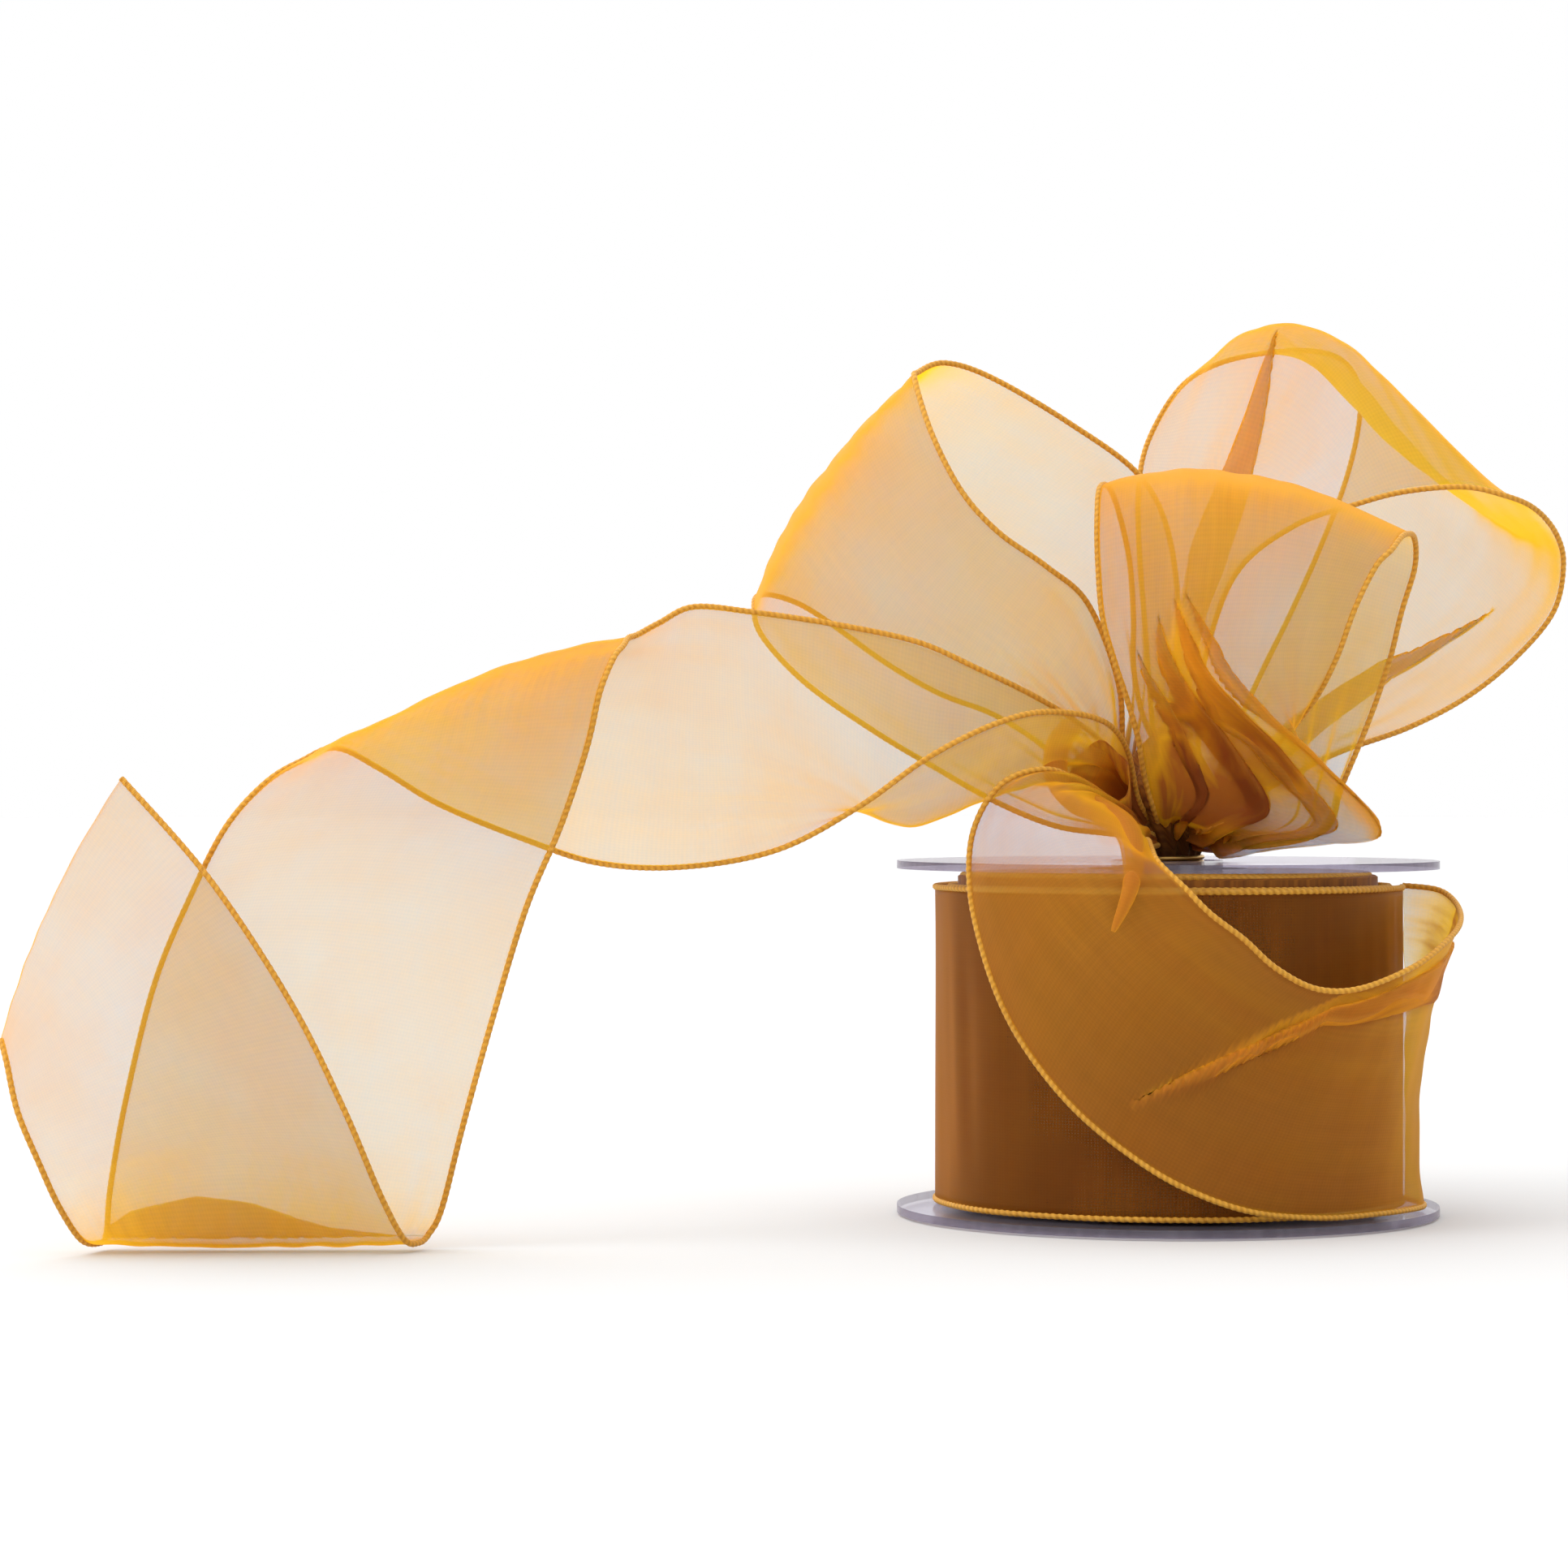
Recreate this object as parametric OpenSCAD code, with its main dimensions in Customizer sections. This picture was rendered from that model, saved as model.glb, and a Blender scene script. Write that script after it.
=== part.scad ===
// Spool of wire-edged sheer ribbon, standing on its lower flange, with the free end of the
// ribbon tied in a three-loop bow over the hub. Millimetres, +Z up, origin at the centre of
// the lower flange's rest face. The reel and the free ribbon turn on each other about Z.

/* [Ribbon] */
// Width of the ribbon between the outsides of its edge wires
ribbon_w = 40; // [39.5:0.1:40.5]
// Thickness that the sheer web is modelled at
web_t = 0.4; // [0.3:0.05:0.5]
// Diameter of an overlocked edge wire
wire_d = 0.8; // [0.6:0.1:0.9]

/* [Spool] */
// Diameter of each flange
flange_d = 68; // [66:1:70]
// Thickness of each flange
flange_t = 1; // [0.8:0.1:1.2]
// Clear distance between the flanges
flange_gap = 42.2; // [42:0.1:43]
// Diameter of the bore through each flange and its spigot
bore_d = 14; // [12:0.5:15]
// Outer diameter of the spigot that plugs each flange into the core
spigot_d = 20; // [18:0.5:21]
// Length of each spigot inside the core
spigot_l = 8; // [5:0.5:12]
// Outer diameter of the cardboard core
core_d = 24.4; // [23:0.2:26]

/* [Wound ribbon] */
// Outer diameter of the inner turns, which sit against the upper flange
inner_pack_d = 52.6; // [48:0.2:54]
// Outer diameter of the outer turns, which sit against the lower flange
pack_d = 56.8; // [56:0.2:57]
// Diameter of the outermost turn, which belongs to the free ribbon
turn_d = 58.4; // [58:0.1:59]
// Height of the outermost turn's lower edge above the rest face
turn_z = 1.3; // [1.2:0.1:1.6]
// Angle that the outermost turn covers round the pack
turn_sweep = 335; // [300:1:340]

/* [Bow] */
// Diameter of the gathered stem inside the bore
stem_d = 8.4; // [6:0.2:9]
// Diameter of the gathered bunch above the upper flange
bunch_d = 11; // [10:0.2:11.4]
// Diameter of the fine wire that ties the gather
tie_d = 0.6; // [0.4:0.1:0.8]

/* [Hidden] */
$fn = 96;
eps = 0.01;

// Heights that stack up from the rest face.
gap_z = flange_t;
top_z = flange_t + flange_gap;
outer_pack_z = gap_z + 0.4;
inner_pack_z = top_z - 0.4 - ribbon_w;
bead_pitch = 1.3;
fit_gap = 0.1;
wire_r = wire_d / 2;

// Colours: sheer gold web, browner wire, amber pack.
web_colour = [0.93, 0.70, 0.36, 0.55];
wire_colour = [0.74, 0.46, 0.13];
pack_colour = [0.55, 0.32, 0.12];
clear_colour = [0.80, 0.80, 0.86, 0.45];

// Each stretch of free ribbon is a list of stations along it. A station is
// [first edge, middle, second edge]: the two edge wires and the crown of the web between them.
// The points are chosen by hand, in whole and half millimetres.
LEFT_LOOP = [
    [[-3, 5.5, 54], [-5, 4.5, 52], [-6, 3, 49.5]],
    [[0, 6.5, 60], [-6, 6.5, 55.5], [-10, 7.5, 51.5]],
    [[2, 7, 72.5], [-5, 10.5, 65.5], [-13.5, 14, 57.5]],
    [[1, 7.5, 85], [-8, 12.5, 76.5], [-20.5, 17, 62.5]],
    [[-3, 6, 93], [-15.5, 14, 82], [-28, 18, 65.5]],
    [[-12, 4, 99.5], [-24.5, 14, 87], [-35, 18, 69.5]],
    [[-22, 1, 105], [-33, 13, 92], [-43.5, 17, 75.5]],
    [[-28, -3, 106.5], [-39.5, 10, 95], [-47.5, 14, 77.5]],
    [[-31.5, -7, 105], [-44.5, 3, 91.5], [-51, 9, 78]],
    [[-32, -11, 103.5], [-45, -4, 89.5], [-52, 4, 76.5]],
    [[-30, -15, 96.5], [-43, -10, 85.5], [-51, 1, 72.5]],
    [[-26.5, -17, 89.5], [-38, -13, 78.5], [-45.5, 0, 66.5]],
    [[-22, -17, 84.5], [-32, -13.5, 72.5], [-37, -1, 60.5]],
    [[-16, -14, 80.5], [-25, -12, 67.5], [-29.5, -1, 56]],
    [[-10.5, -9, 76], [-18, -8.5, 62], [-21.5, -1.5, 51.5]],
    [[-6.5, -6, 66], [-11, -5, 56], [-14, -1, 48.5]],
    [[-5.5, -3.5, 56], [-6.5, -2, 51.5], [-7, 0, 47.5]],
];
FRONT_LOOP = [
    [[-2, -6.5, 50], [12, -10, 46.5], [3, -6, 49.5]],
    [[-3.5, -8.5, 54.5], [25, -14, 47.5], [6, -6.5, 52.5]],
    [[-4.5, -10.5, 59.5], [17, -18, 56.5], [11, -12, 57]],
    [[-6, -11.5, 64.5], [9, -21, 63], [16, -18.5, 63.5]],
    [[-7.5, -12, 69], [5, -22.5, 69], [18.5, -23, 69]],
    [[-9, -12, 74.5], [5.5, -24, 75.5], [20.5, -25, 75]],
    [[-9.5, -11, 81.5], [6.5, -24, 83], [23, -25, 80]],
    [[-9.5, -10, 86.5], [7, -22, 88.5], [25, -24, 82]],
    [[-9, -7, 90.5], [8, -16, 91.5], [27, -20, 84]],
    [[-7.5, -2, 91], [9, -8, 91.5], [29, -15, 84]],
    [[-6, 1, 88], [10.5, -4, 87], [29.5, -12, 80.5]],
    [[-4.5, 3, 82], [11, -1, 80], [28, -11, 75]],
    [[-4, 3, 75], [11, 1, 72], [26.5, -10, 68.5]],
    [[-4, 2, 68], [11, 2, 63.5], [24, -9, 61]],
    [[-2.5, 0.5, 61], [11, 1, 56], [21, -8, 53.5]],
    [[1, -1, 56], [11, 0, 51], [19, -6.5, 48]],
    [[5.5, -3.5, 52], [8, -2, 48.5], [11, -4, 46]],
];
RIGHT_LOOP = [
    [[-1.5, 6, 51], [0.5, 6.5, 50], [2.5, 6, 50.5]],
    [[-1, 9, 58.5], [2, 8.5, 57], [4.5, 7, 56.5]],
    [[-1.5, 14, 72], [2, 11.5, 69], [5, 8.5, 67]],
    [[-2, 20, 86], [5, 15, 82], [9, 7, 80]],
    [[-1.5, 24, 94.5], [9, 16.5, 92], [16.5, 6.5, 86.5]],
    [[0.5, 27, 100.5], [14, 18.5, 101.5], [25, 6, 89.5]],
    [[4.5, 29, 106.5], [19, 20.5, 111], [31, 6, 91]],
    [[9.5, 30, 109.5], [23, 21.5, 112.5], [38, 5, 91.5]],
    [[16, 31, 111], [28, 22.5, 106], [43, 5, 90.5]],
    [[22.5, 34, 111.5], [34, 27, 97], [47.5, 8, 89]],
    [[27, 38, 110.5], [40.5, 33.5, 93], [51, 12, 86]],
    [[29.5, 41, 107], [44, 38, 91.5], [52.5, 15, 82]],
    [[29.5, 43, 101.5], [43.5, 40, 88], [51.5, 17, 76]],
    [[27.5, 42, 94], [39.5, 37, 81.5], [46.5, 17, 70]],
    [[23.5, 37, 85], [32.5, 31, 74], [40, 15, 65]],
    [[19, 30, 76.5], [25.5, 24, 68], [32, 12, 61]],
    [[13.5, 21, 67], [18, 16.5, 61.5], [22, 9, 57.5]],
    [[8.5, 12, 57.5], [10.5, 9, 54], [12, 5, 52.5]],
    [[5, 4.5, 51], [6, 3, 50], [6.5, 1, 49.5]],
];
TAIL = [
    [[-5, -4.5, 51], [-4.5, -5.5, 49.5], [-4, -6.5, 51.5]],
    [[-7, -8, 57], [-7.5, -9, 53.5], [-6, -12.5, 58]],
    [[-11.5, -12, 61], [-12.5, -15, 54], [-9.5, -19, 61.5]],
    [[-17.5, -16, 64.5], [-18.5, -19, 53.5], [-16.5, -25, 62.5]],
    [[-25, -19.5, 68], [-25.5, -21.5, 51.5], [-23, -29, 61]],
    [[-32, -21, 71], [-34, -24, 49.5], [-31, -31, 57]],
    [[-41.5, -23, 73], [-42, -27, 54.5], [-39.5, -32, 51]],
    [[-52, -25, 74.5], [-51.5, -32, 58.5], [-49, -32, 46]],
    [[-59, -28, 75], [-59.5, -37, 59.5], [-60, -33, 44]],
    [[-63, -31, 73], [-67, -41, 61], [-70, -36, 44.5]],
    [[-65.5, -34, 71.5], [-74, -44, 62], [-79, -39, 47.5]],
    [[-66.5, -37, 71], [-80.5, -46.5, 65], [-88.5, -41, 51.5]],
    [[-67, -40, 70], [-85, -49, 65.5], [-95, -43, 55.5]],
    [[-68, -43, 68.5], [-87, -51.5, 64], [-100, -45, 58]],
    [[-69.5, -45.5, 64.5], [-88.5, -52.5, 61.5], [-104, -46, 56.5]],
    [[-71, -46, 58], [-90, -52, 57], [-108, -47, 54]],
    [[-74, -46, 49], [-93, -51, 51], [-112.5, -47, 49]],
    [[-78, -46, 39.5], [-97.5, -49.5, 43], [-116.5, -46, 41.5]],
    [[-82, -45, 26.5], [-101.5, -47.5, 31], [-121, -45, 31]],
    [[-85.5, -44, 14], [-105, -45.5, 17.5], [-124.5, -44, 17.5]],
    [[-88, -42.5, 4.5], [-107.5, -43.5, 6.5], [-126.5, -43, 7]],
    [[-89.5, -42.5, 1.5], [-108.5, -43, 1.5], [-127, -43, 1.5]],
    [[-90.5, -45, 0.7], [-109, -45.5, 0.3], [-127.5, -45.5, 0.7]],
    [[-92, -48, 1.5], [-110, -48.5, 2], [-129, -49, 1.5]],
    [[-94.5, -51, 7], [-112, -53, 10], [-131, -52, 5.5]],
    [[-98.5, -53, 17], [-115, -55, 15.5], [-133, -53.5, 10.5]],
    [[-104.5, -53, 29], [-119.5, -55.5, 24], [-135.5, -53.5, 16.5]],
    [[-114, -51, 43], [-125.5, -54, 33], [-137, -52, 22]],
    [[-124.5, -48, 54.5], [-132.5, -51, 39.5], [-138, -50, 24.5]],
];
LEAD = [
    [[29.8, -1, 1.8], [29.8, -1, 21], [29.8, 1, 41]],
    [[30.5, -4, 1.8], [30, -4, 20.5], [34, -0.5, 40.5]],
    [[31, -9, 1.8], [30.5, -9, 20], [35.5, -5.5, 39]],
    [[29.5, -14.5, 1.8], [30, -15, 20], [35, -13, 37]],
    [[24, -21.5, 1.8], [27.5, -21.5, 20.5], [32.5, -20, 35]],
    [[16, -27, 1.8], [22, -27.5, 20.5], [27.5, -26.5, 32]],
    [[7, -31, 3], [15.5, -31.5, 21], [20.5, -30.5, 29.5]],
    [[-1, -32, 6], [9, -33.5, 23], [15, -32.5, 29.5]],
    [[-7.5, -31, 10], [2.5, -35, 26.5], [10, -34.5, 32]],
    [[-13.5, -30, 15], [-3.5, -36, 31], [6, -36, 35.5]],
    [[-18.5, -29, 21], [-9, -36.5, 36], [2, -37, 38.5]],
    [[-22, -28.5, 27], [-13.5, -36.5, 41], [-1, -37, 41.5]],
    [[-24.5, -28, 34], [-16.5, -35.5, 46], [-4, -35.5, 44.5]],
    [[-26, -28, 41.5], [-17, -34, 50], [-4.5, -31.5, 46]],
    [[-25.5, -28.5, 48.5], [-15.5, -31.5, 52.5], [-4.5, -26.5, 47]],
    [[-22, -29, 54], [-13, -28, 53], [-4.5, -21, 47]],
    [[-16, -27, 55.5], [-10, -22.5, 52], [-4, -15.5, 46.8]],
    [[-10, -20, 52], [-6.5, -15, 49.5], [-3.5, -10.5, 46.6]],
    [[-5.5, -11, 49], [-4, -9, 47.5], [-2.5, -7, 46]],
];

// A point on the smooth curve through p1 and p2, with p0 and p3 as its neighbours.
function curve_point(p0, p1, p2, p3, t) =
    0.5 * (2 * p1 + (p2 - p0) * t + (2 * p0 - 5 * p1 + 4 * p2 - p3) * t * t
        + (3 * p1 - p0 - 3 * p2 + p3) * t * t * t);

// The stations of a stretch, with extra ones blended between them.
function smooth(stations, steps) = let (last = len(stations) - 1) [
    for (i = [0 : last * steps])
        let (
            k = min(floor(i / steps), last - 1),
            t = i / steps - k,
            s0 = stations[max(k - 1, 0)],
            s1 = stations[k],
            s2 = stations[k + 1],
            s3 = stations[min(k + 2, last)]
        )
        [for (e = [0 : 2]) curve_point(s0[e], s1[e], s2[e], s3[e], t)]
];

// A point across one station, on the parabola through its two edges and its middle.
function across(station, v) =
    let (c = 2 * station[1] - (station[0] + station[2]) / 2)
    (1 - v) * (1 - v) * station[0] + 2 * v * (1 - v) * c + v * v * station[2];

function unit(v) = v / norm(v);

// How far across a station the web starts, to stay clear of the wire at edge e.
function edge_inset(stations, i, e) =
    let (
        last = len(stations) - 1,
        along = stations[min(i + 1, last)][e] - stations[max(i - 1, 0)][e],
        side = 4 * (stations[i][1] - stations[i][e]) - (stations[i][2 - e] - stations[i][e]),
        slant = norm(cross(unit(along), side))
    )
    min(0.3, (wire_r + fit_gap + web_t / 2) / slant);

// The web's middle surface: a grid of points that stops short of both edge wires.
function web_grid(stations, cols) = [
    for (i = [0 : len(stations) - 1])
        let (v0 = edge_inset(stations, i, 0), v1 = 1 - edge_inset(stations, i, 2))
        [for (j = [0 : cols]) across(stations[i], v0 + (v1 - v0) * j / cols)]
];

// The web's unit normal at each grid point.
function grid_normal(g, i, j) =
    let (
        rows = len(g) - 1,
        cols = len(g[0]) - 1,
        along = g[min(i + 1, rows)][j] - g[max(i - 1, 0)][j],
        side = g[i][min(j + 1, cols)] - g[i][max(j - 1, 0)]
    )
    unit(cross(along, side));

// A closed sheet of even thickness about a grid.
module sheet(grid, thickness) {
    rows = len(grid);
    cols = len(grid[0]);
    half = thickness / 2;
    front = [for (i = [0 : rows - 1], j = [0 : cols - 1]) grid[i][j] + half * grid_normal(grid, i, j)];
    back = [for (i = [0 : rows - 1], j = [0 : cols - 1]) grid[i][j] - half * grid_normal(grid, i, j)];
    n = rows * cols;
    polyhedron(
        points = concat(front, back),
        faces = concat(
            [for (i = [0 : rows - 2], j = [0 : cols - 2], h = [0 : 1])
                let (a = i * cols + j, b = a + 1, c = a + cols, d = c + 1)
                h == 0 ? [a, b, d] : [a, d, c]],
            [for (i = [0 : rows - 2], j = [0 : cols - 2], h = [0 : 1])
                let (a = n + i * cols + j, b = a + 1, c = a + cols, d = c + 1)
                h == 0 ? [a, d, b] : [a, c, d]],
            [for (i = [0 : rows - 2], h = [0 : 1])
                let (a = i * cols, c = a + cols)
                h == 0 ? [a, c, n + c] : [a, n + c, n + a]],
            [for (i = [0 : rows - 2], h = [0 : 1])
                let (a = i * cols + cols - 1, c = a + cols)
                h == 0 ? [a, n + c, c] : [a, n + a, n + c]],
            [for (j = [0 : cols - 2], h = [0 : 1])
                h == 0 ? [j, n + j, n + j + 1] : [j, n + j + 1, j + 1]],
            [for (j = [0 : cols - 2], h = [0 : 1])
                let (a = n - cols + j)
                h == 0 ? [a, n + a + 1, n + a] : [a, a + 1, n + a + 1]]
        )
    );
}

// The sheer web of a stretch of ribbon.
module web(stations, steps = 3, cols = 6) {
    color(web_colour) sheet(web_grid(smooth(stations, steps), cols), web_t);
}

// The wire along one edge of a stretch: edge 0 is the first, 2 the second.
module edge_wire(stations, edge, steps = 3, sides = 6) {
    s = smooth(stations, steps);
    last = len(s) - 1;
    rings = [for (i = [0 : last])
        let (
            along = unit(s[min(i + 1, last)][edge] - s[max(i - 1, 0)][edge]),
            side = s[i][2] - s[i][0],
            u = unit(side - along * (side * along)),
            w = cross(along, u)
        )
        [for (k = [0 : sides - 1])
            s[i][edge] + wire_r * (cos(360 * k / sides) * u + sin(360 * k / sides) * w)]
    ];
    color(wire_colour) polyhedron(
        points = [for (ring = rings, p = ring) p],
        faces = concat(
            [[for (k = [0 : sides - 1]) k]],
            [[for (k = [sides - 1 : -1 : 0]) last * sides + k]],
            [for (i = [0 : last - 1], k = [0 : sides - 1], h = [0 : 1])
                let (a = i * sides + k, b = i * sides + (k + 1) % sides)
                h == 0 ? [a, a + sides, b + sides] : [a, b + sides, b]]
        )
    );
}

// A flange: a thin disc with a spigot that plugs into the core, and one bore through both.
module flange(spigot_up) {
    color(clear_colour) difference() {
        union() {
            cylinder(d = flange_d, h = flange_t);
            translate([0, 0, spigot_up ? flange_t - eps : -spigot_l])
                cylinder(d = spigot_d, h = spigot_l + eps);
        }
        translate([0, 0, -spigot_l - 1])
            cylinder(d = bore_d, h = 2 * spigot_l + flange_t + 2);
    }
}

module lower_flange() flange(true);

module upper_flange() {
    translate([0, 0, top_z]) flange(false);
}

module core_tube() {
    color("tan") translate([0, 0, gap_z + fit_gap]) difference() {
        cylinder(d = core_d, h = flange_gap - 2 * fit_gap);
        translate([0, 0, -1]) cylinder(d = spigot_d + 2 * fit_gap, h = flange_gap + 2);
    }
}

// A strip of clear tape that holds the ribbon's start to the core.
module start_tape() {
    tape_t = 0.2;
    tape_w = 18;
    color([0.9, 0.88, 0.75, 0.6]) translate([0, 0, top_z / 2 - tape_w / 2])
        rotate_extrude(angle = 80)
            translate([core_d / 2 + 0.05, 0]) square([tape_t, tape_w]);
}

// A band of wound turns between two diameters, its edge wires left out.
module turns(inner_d, outer_d, z) {
    translate([0, 0, z + wire_d]) difference() {
        cylinder(d = outer_d, h = ribbon_w - 2 * wire_d);
        translate([0, 0, -1]) cylinder(d = inner_d, h = ribbon_w);
    }
}

// The wound pack: the outer turns have slipped down a little past the inner ones.
module wound_ribbon() {
    color(pack_colour) union() {
        turns(core_d + 0.8, inner_pack_d, inner_pack_z);
        turns(inner_pack_d - eps, pack_d, outer_pack_z);
    }
}

// Rings of edge wire at one height, from an outer diameter inwards.
module edge_rings(outer_d, inner_d, z) {
    for (d = [outer_d : -2 * bead_pitch : inner_d])
        rotate_extrude() translate([d / 2 - wire_r, z]) circle(r = wire_r - eps, $fn = 16);
}

module wound_upper_edge() {
    color(wire_colour) {
        edge_rings(inner_pack_d, core_d + 4, inner_pack_z + ribbon_w - wire_r);
        edge_rings(pack_d, inner_pack_d + 2 * wire_d, outer_pack_z + ribbon_w - wire_r);
    }
}

module wound_lower_edge() {
    color(wire_colour) {
        edge_rings(inner_pack_d, core_d + 4, inner_pack_z + wire_r);
        edge_rings(pack_d, inner_pack_d + 2 * wire_d, outer_pack_z + wire_r);
    }
}

// The outermost turn starts where the lead leaves the pack and runs back round it.
module outer_turn() {
    inset = wire_d + fit_gap;
    color(pack_colour) rotate([0, 0, -4 - turn_sweep]) rotate_extrude(angle = turn_sweep)
        translate([turn_d / 2 - web_t / 2, turn_z + inset])
            square([web_t, ribbon_w - 2 * inset]);
}

module outer_turn_wire(z) {
    color(wire_colour) rotate([0, 0, -4 - turn_sweep]) rotate_extrude(angle = turn_sweep)
        translate([turn_d / 2, z]) circle(d = wire_d, $fn = 16);
}

module outer_turn_upper_wire() outer_turn_wire(turn_z + ribbon_w - wire_r);

module outer_turn_lower_wire() outer_turn_wire(turn_z + wire_r);

module lead_ribbon() web(LEAD);

module lead_upper_wire() edge_wire(LEAD, 2);

module lead_lower_wire() edge_wire(LEAD, 0);

// The gathered ribbon: a stem tucked into the bore and the bunch that the loops spring from.
module gather() {
    stem_r = stem_d / 2;
    bunch_r = bunch_d / 2;
    bunch_z = top_z + flange_t + 0.5;
    color("saddlebrown") rotate_extrude() polygon([
        [0, top_z - 9], [stem_r - 1, top_z - 9], [stem_r, top_z - 8],
        [stem_r, bunch_z], [bunch_r, bunch_z + 1.8], [bunch_r, bunch_z + 4.8],
        [bunch_r - 1.2, bunch_z + 7], [bunch_r - 3.2, bunch_z + 8.6], [0, bunch_z + 9],
    ]);
}

// A turn of fine wire round the stem, under the bunch.
module gather_tie() {
    tie_z = top_z + flange_t / 2;
    color("gold") rotate_extrude() translate([stem_d / 2 + tie_d / 2 + eps, tie_z])
        circle(d = tie_d, $fn = 16);
}

module left_loop() web(LEFT_LOOP);

module left_loop_upper_wire() edge_wire(LEFT_LOOP, 0);

module left_loop_lower_wire() edge_wire(LEFT_LOOP, 2);

module front_loop() web(FRONT_LOOP);

module front_loop_left_wire() edge_wire(FRONT_LOOP, 0);

module front_loop_right_wire() edge_wire(FRONT_LOOP, 2);

module right_loop() web(RIGHT_LOOP);

module right_loop_upper_wire() edge_wire(RIGHT_LOOP, 0);

module right_loop_lower_wire() edge_wire(RIGHT_LOOP, 2);

module tail() web(TAIL);

module tail_upper_wire() edge_wire(TAIL, 0);

module tail_lower_wire() edge_wire(TAIL, 2);

lower_flange();
upper_flange();
core_tube();
start_tape();
wound_ribbon();
wound_upper_edge();
wound_lower_edge();
outer_turn();
outer_turn_upper_wire();
outer_turn_lower_wire();
lead_ribbon();
lead_upper_wire();
lead_lower_wire();
gather();
gather_tie();
left_loop();
left_loop_upper_wire();
left_loop_lower_wire();
front_loop();
front_loop_left_wire();
front_loop_right_wire();
right_loop();
right_loop_upper_wire();
right_loop_lower_wire();
tail();
tail_upper_wire();
tail_lower_wire();
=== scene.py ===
"""Looks of a spool of wire-edged sheer ribbon, tied in a three-loop bow over its hub."""

import math

import bpy
import numpy as np
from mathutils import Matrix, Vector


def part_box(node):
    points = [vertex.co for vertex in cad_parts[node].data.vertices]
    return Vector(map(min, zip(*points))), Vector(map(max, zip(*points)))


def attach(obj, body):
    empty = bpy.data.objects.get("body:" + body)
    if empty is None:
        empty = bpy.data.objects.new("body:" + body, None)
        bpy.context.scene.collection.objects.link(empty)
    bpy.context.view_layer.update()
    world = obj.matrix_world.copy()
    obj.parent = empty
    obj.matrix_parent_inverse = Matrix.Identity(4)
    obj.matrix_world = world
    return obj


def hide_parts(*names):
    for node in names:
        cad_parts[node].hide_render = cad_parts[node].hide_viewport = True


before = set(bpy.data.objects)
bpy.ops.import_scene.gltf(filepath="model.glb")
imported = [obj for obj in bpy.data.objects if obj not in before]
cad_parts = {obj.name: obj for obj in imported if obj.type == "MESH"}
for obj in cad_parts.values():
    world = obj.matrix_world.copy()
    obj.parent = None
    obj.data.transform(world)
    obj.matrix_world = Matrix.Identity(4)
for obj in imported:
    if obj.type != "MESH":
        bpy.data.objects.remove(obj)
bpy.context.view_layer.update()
MM = 0.001
RIBBON_W = 40 * MM
SHEET_T = 0.12 * MM
# Overlocked wires: on the free ribbon, and pressed together on the spool.
FREE_WIRE = {"radius": 0.34 * MM, "bead": 0.04 * MM, "bead_pitch": 0.8 * MM}
PACKED_WIRE = {"radius": 0.33 * MM, "bead": 0.07 * MM, "bead_pitch": 0.95 * MM}
# The lowest that a wire's middle and the web's middle may lie above the floor.
WIRE_LOWEST = 0.42 * MM
WEB_LOWEST = 0.15 * MM
# Rows of mesh to each gap between stations, and columns across the ribbon.
ROW_STEPS = 12
WEB_COLS = 112


def node_box(node):
    """A CAD node's lowest and highest corners in metres, rounded to 0.01 mm."""
    low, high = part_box(node)
    return np.round(low, 5), np.round(high, 5)


# The spool's measures, from the CAD: the faces of its flanges, and the pack's radius.
CORE_LOW, CORE_HIGH = node_box("core_tube")
LOWER_FACE = CORE_LOW[2] - 0.1 * MM
UPPER_FACE = CORE_HIGH[2] + 0.1 * MM
PACK_R = node_box("wound_ribbon")[1][0]
# The outermost turn: its middle radius, its length, and the angles in degrees that it covers.
TURN_R = -node_box("outer_turn")[0][0] - 0.2 * MM
TURN_LENGTH = 0.171
TURN_SWEEP = 335
TURN_END = -4

# The camera comes first: level, at the photographer's distance and height.
camera = bpy.data.objects.new("camera", bpy.data.cameras.new("camera"))
bpy.context.scene.collection.objects.link(camera)
camera.location = (-0.0482, -0.564, 0.0543)
camera.rotation_euler = (math.radians(90), 0, 0)
camera.data.sensor_width = 36
camera.data.lens = 102.9
camera.data.shift_y = -0.0026
camera.data.clip_start = 0.01
bpy.context.scene.camera = camera


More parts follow.
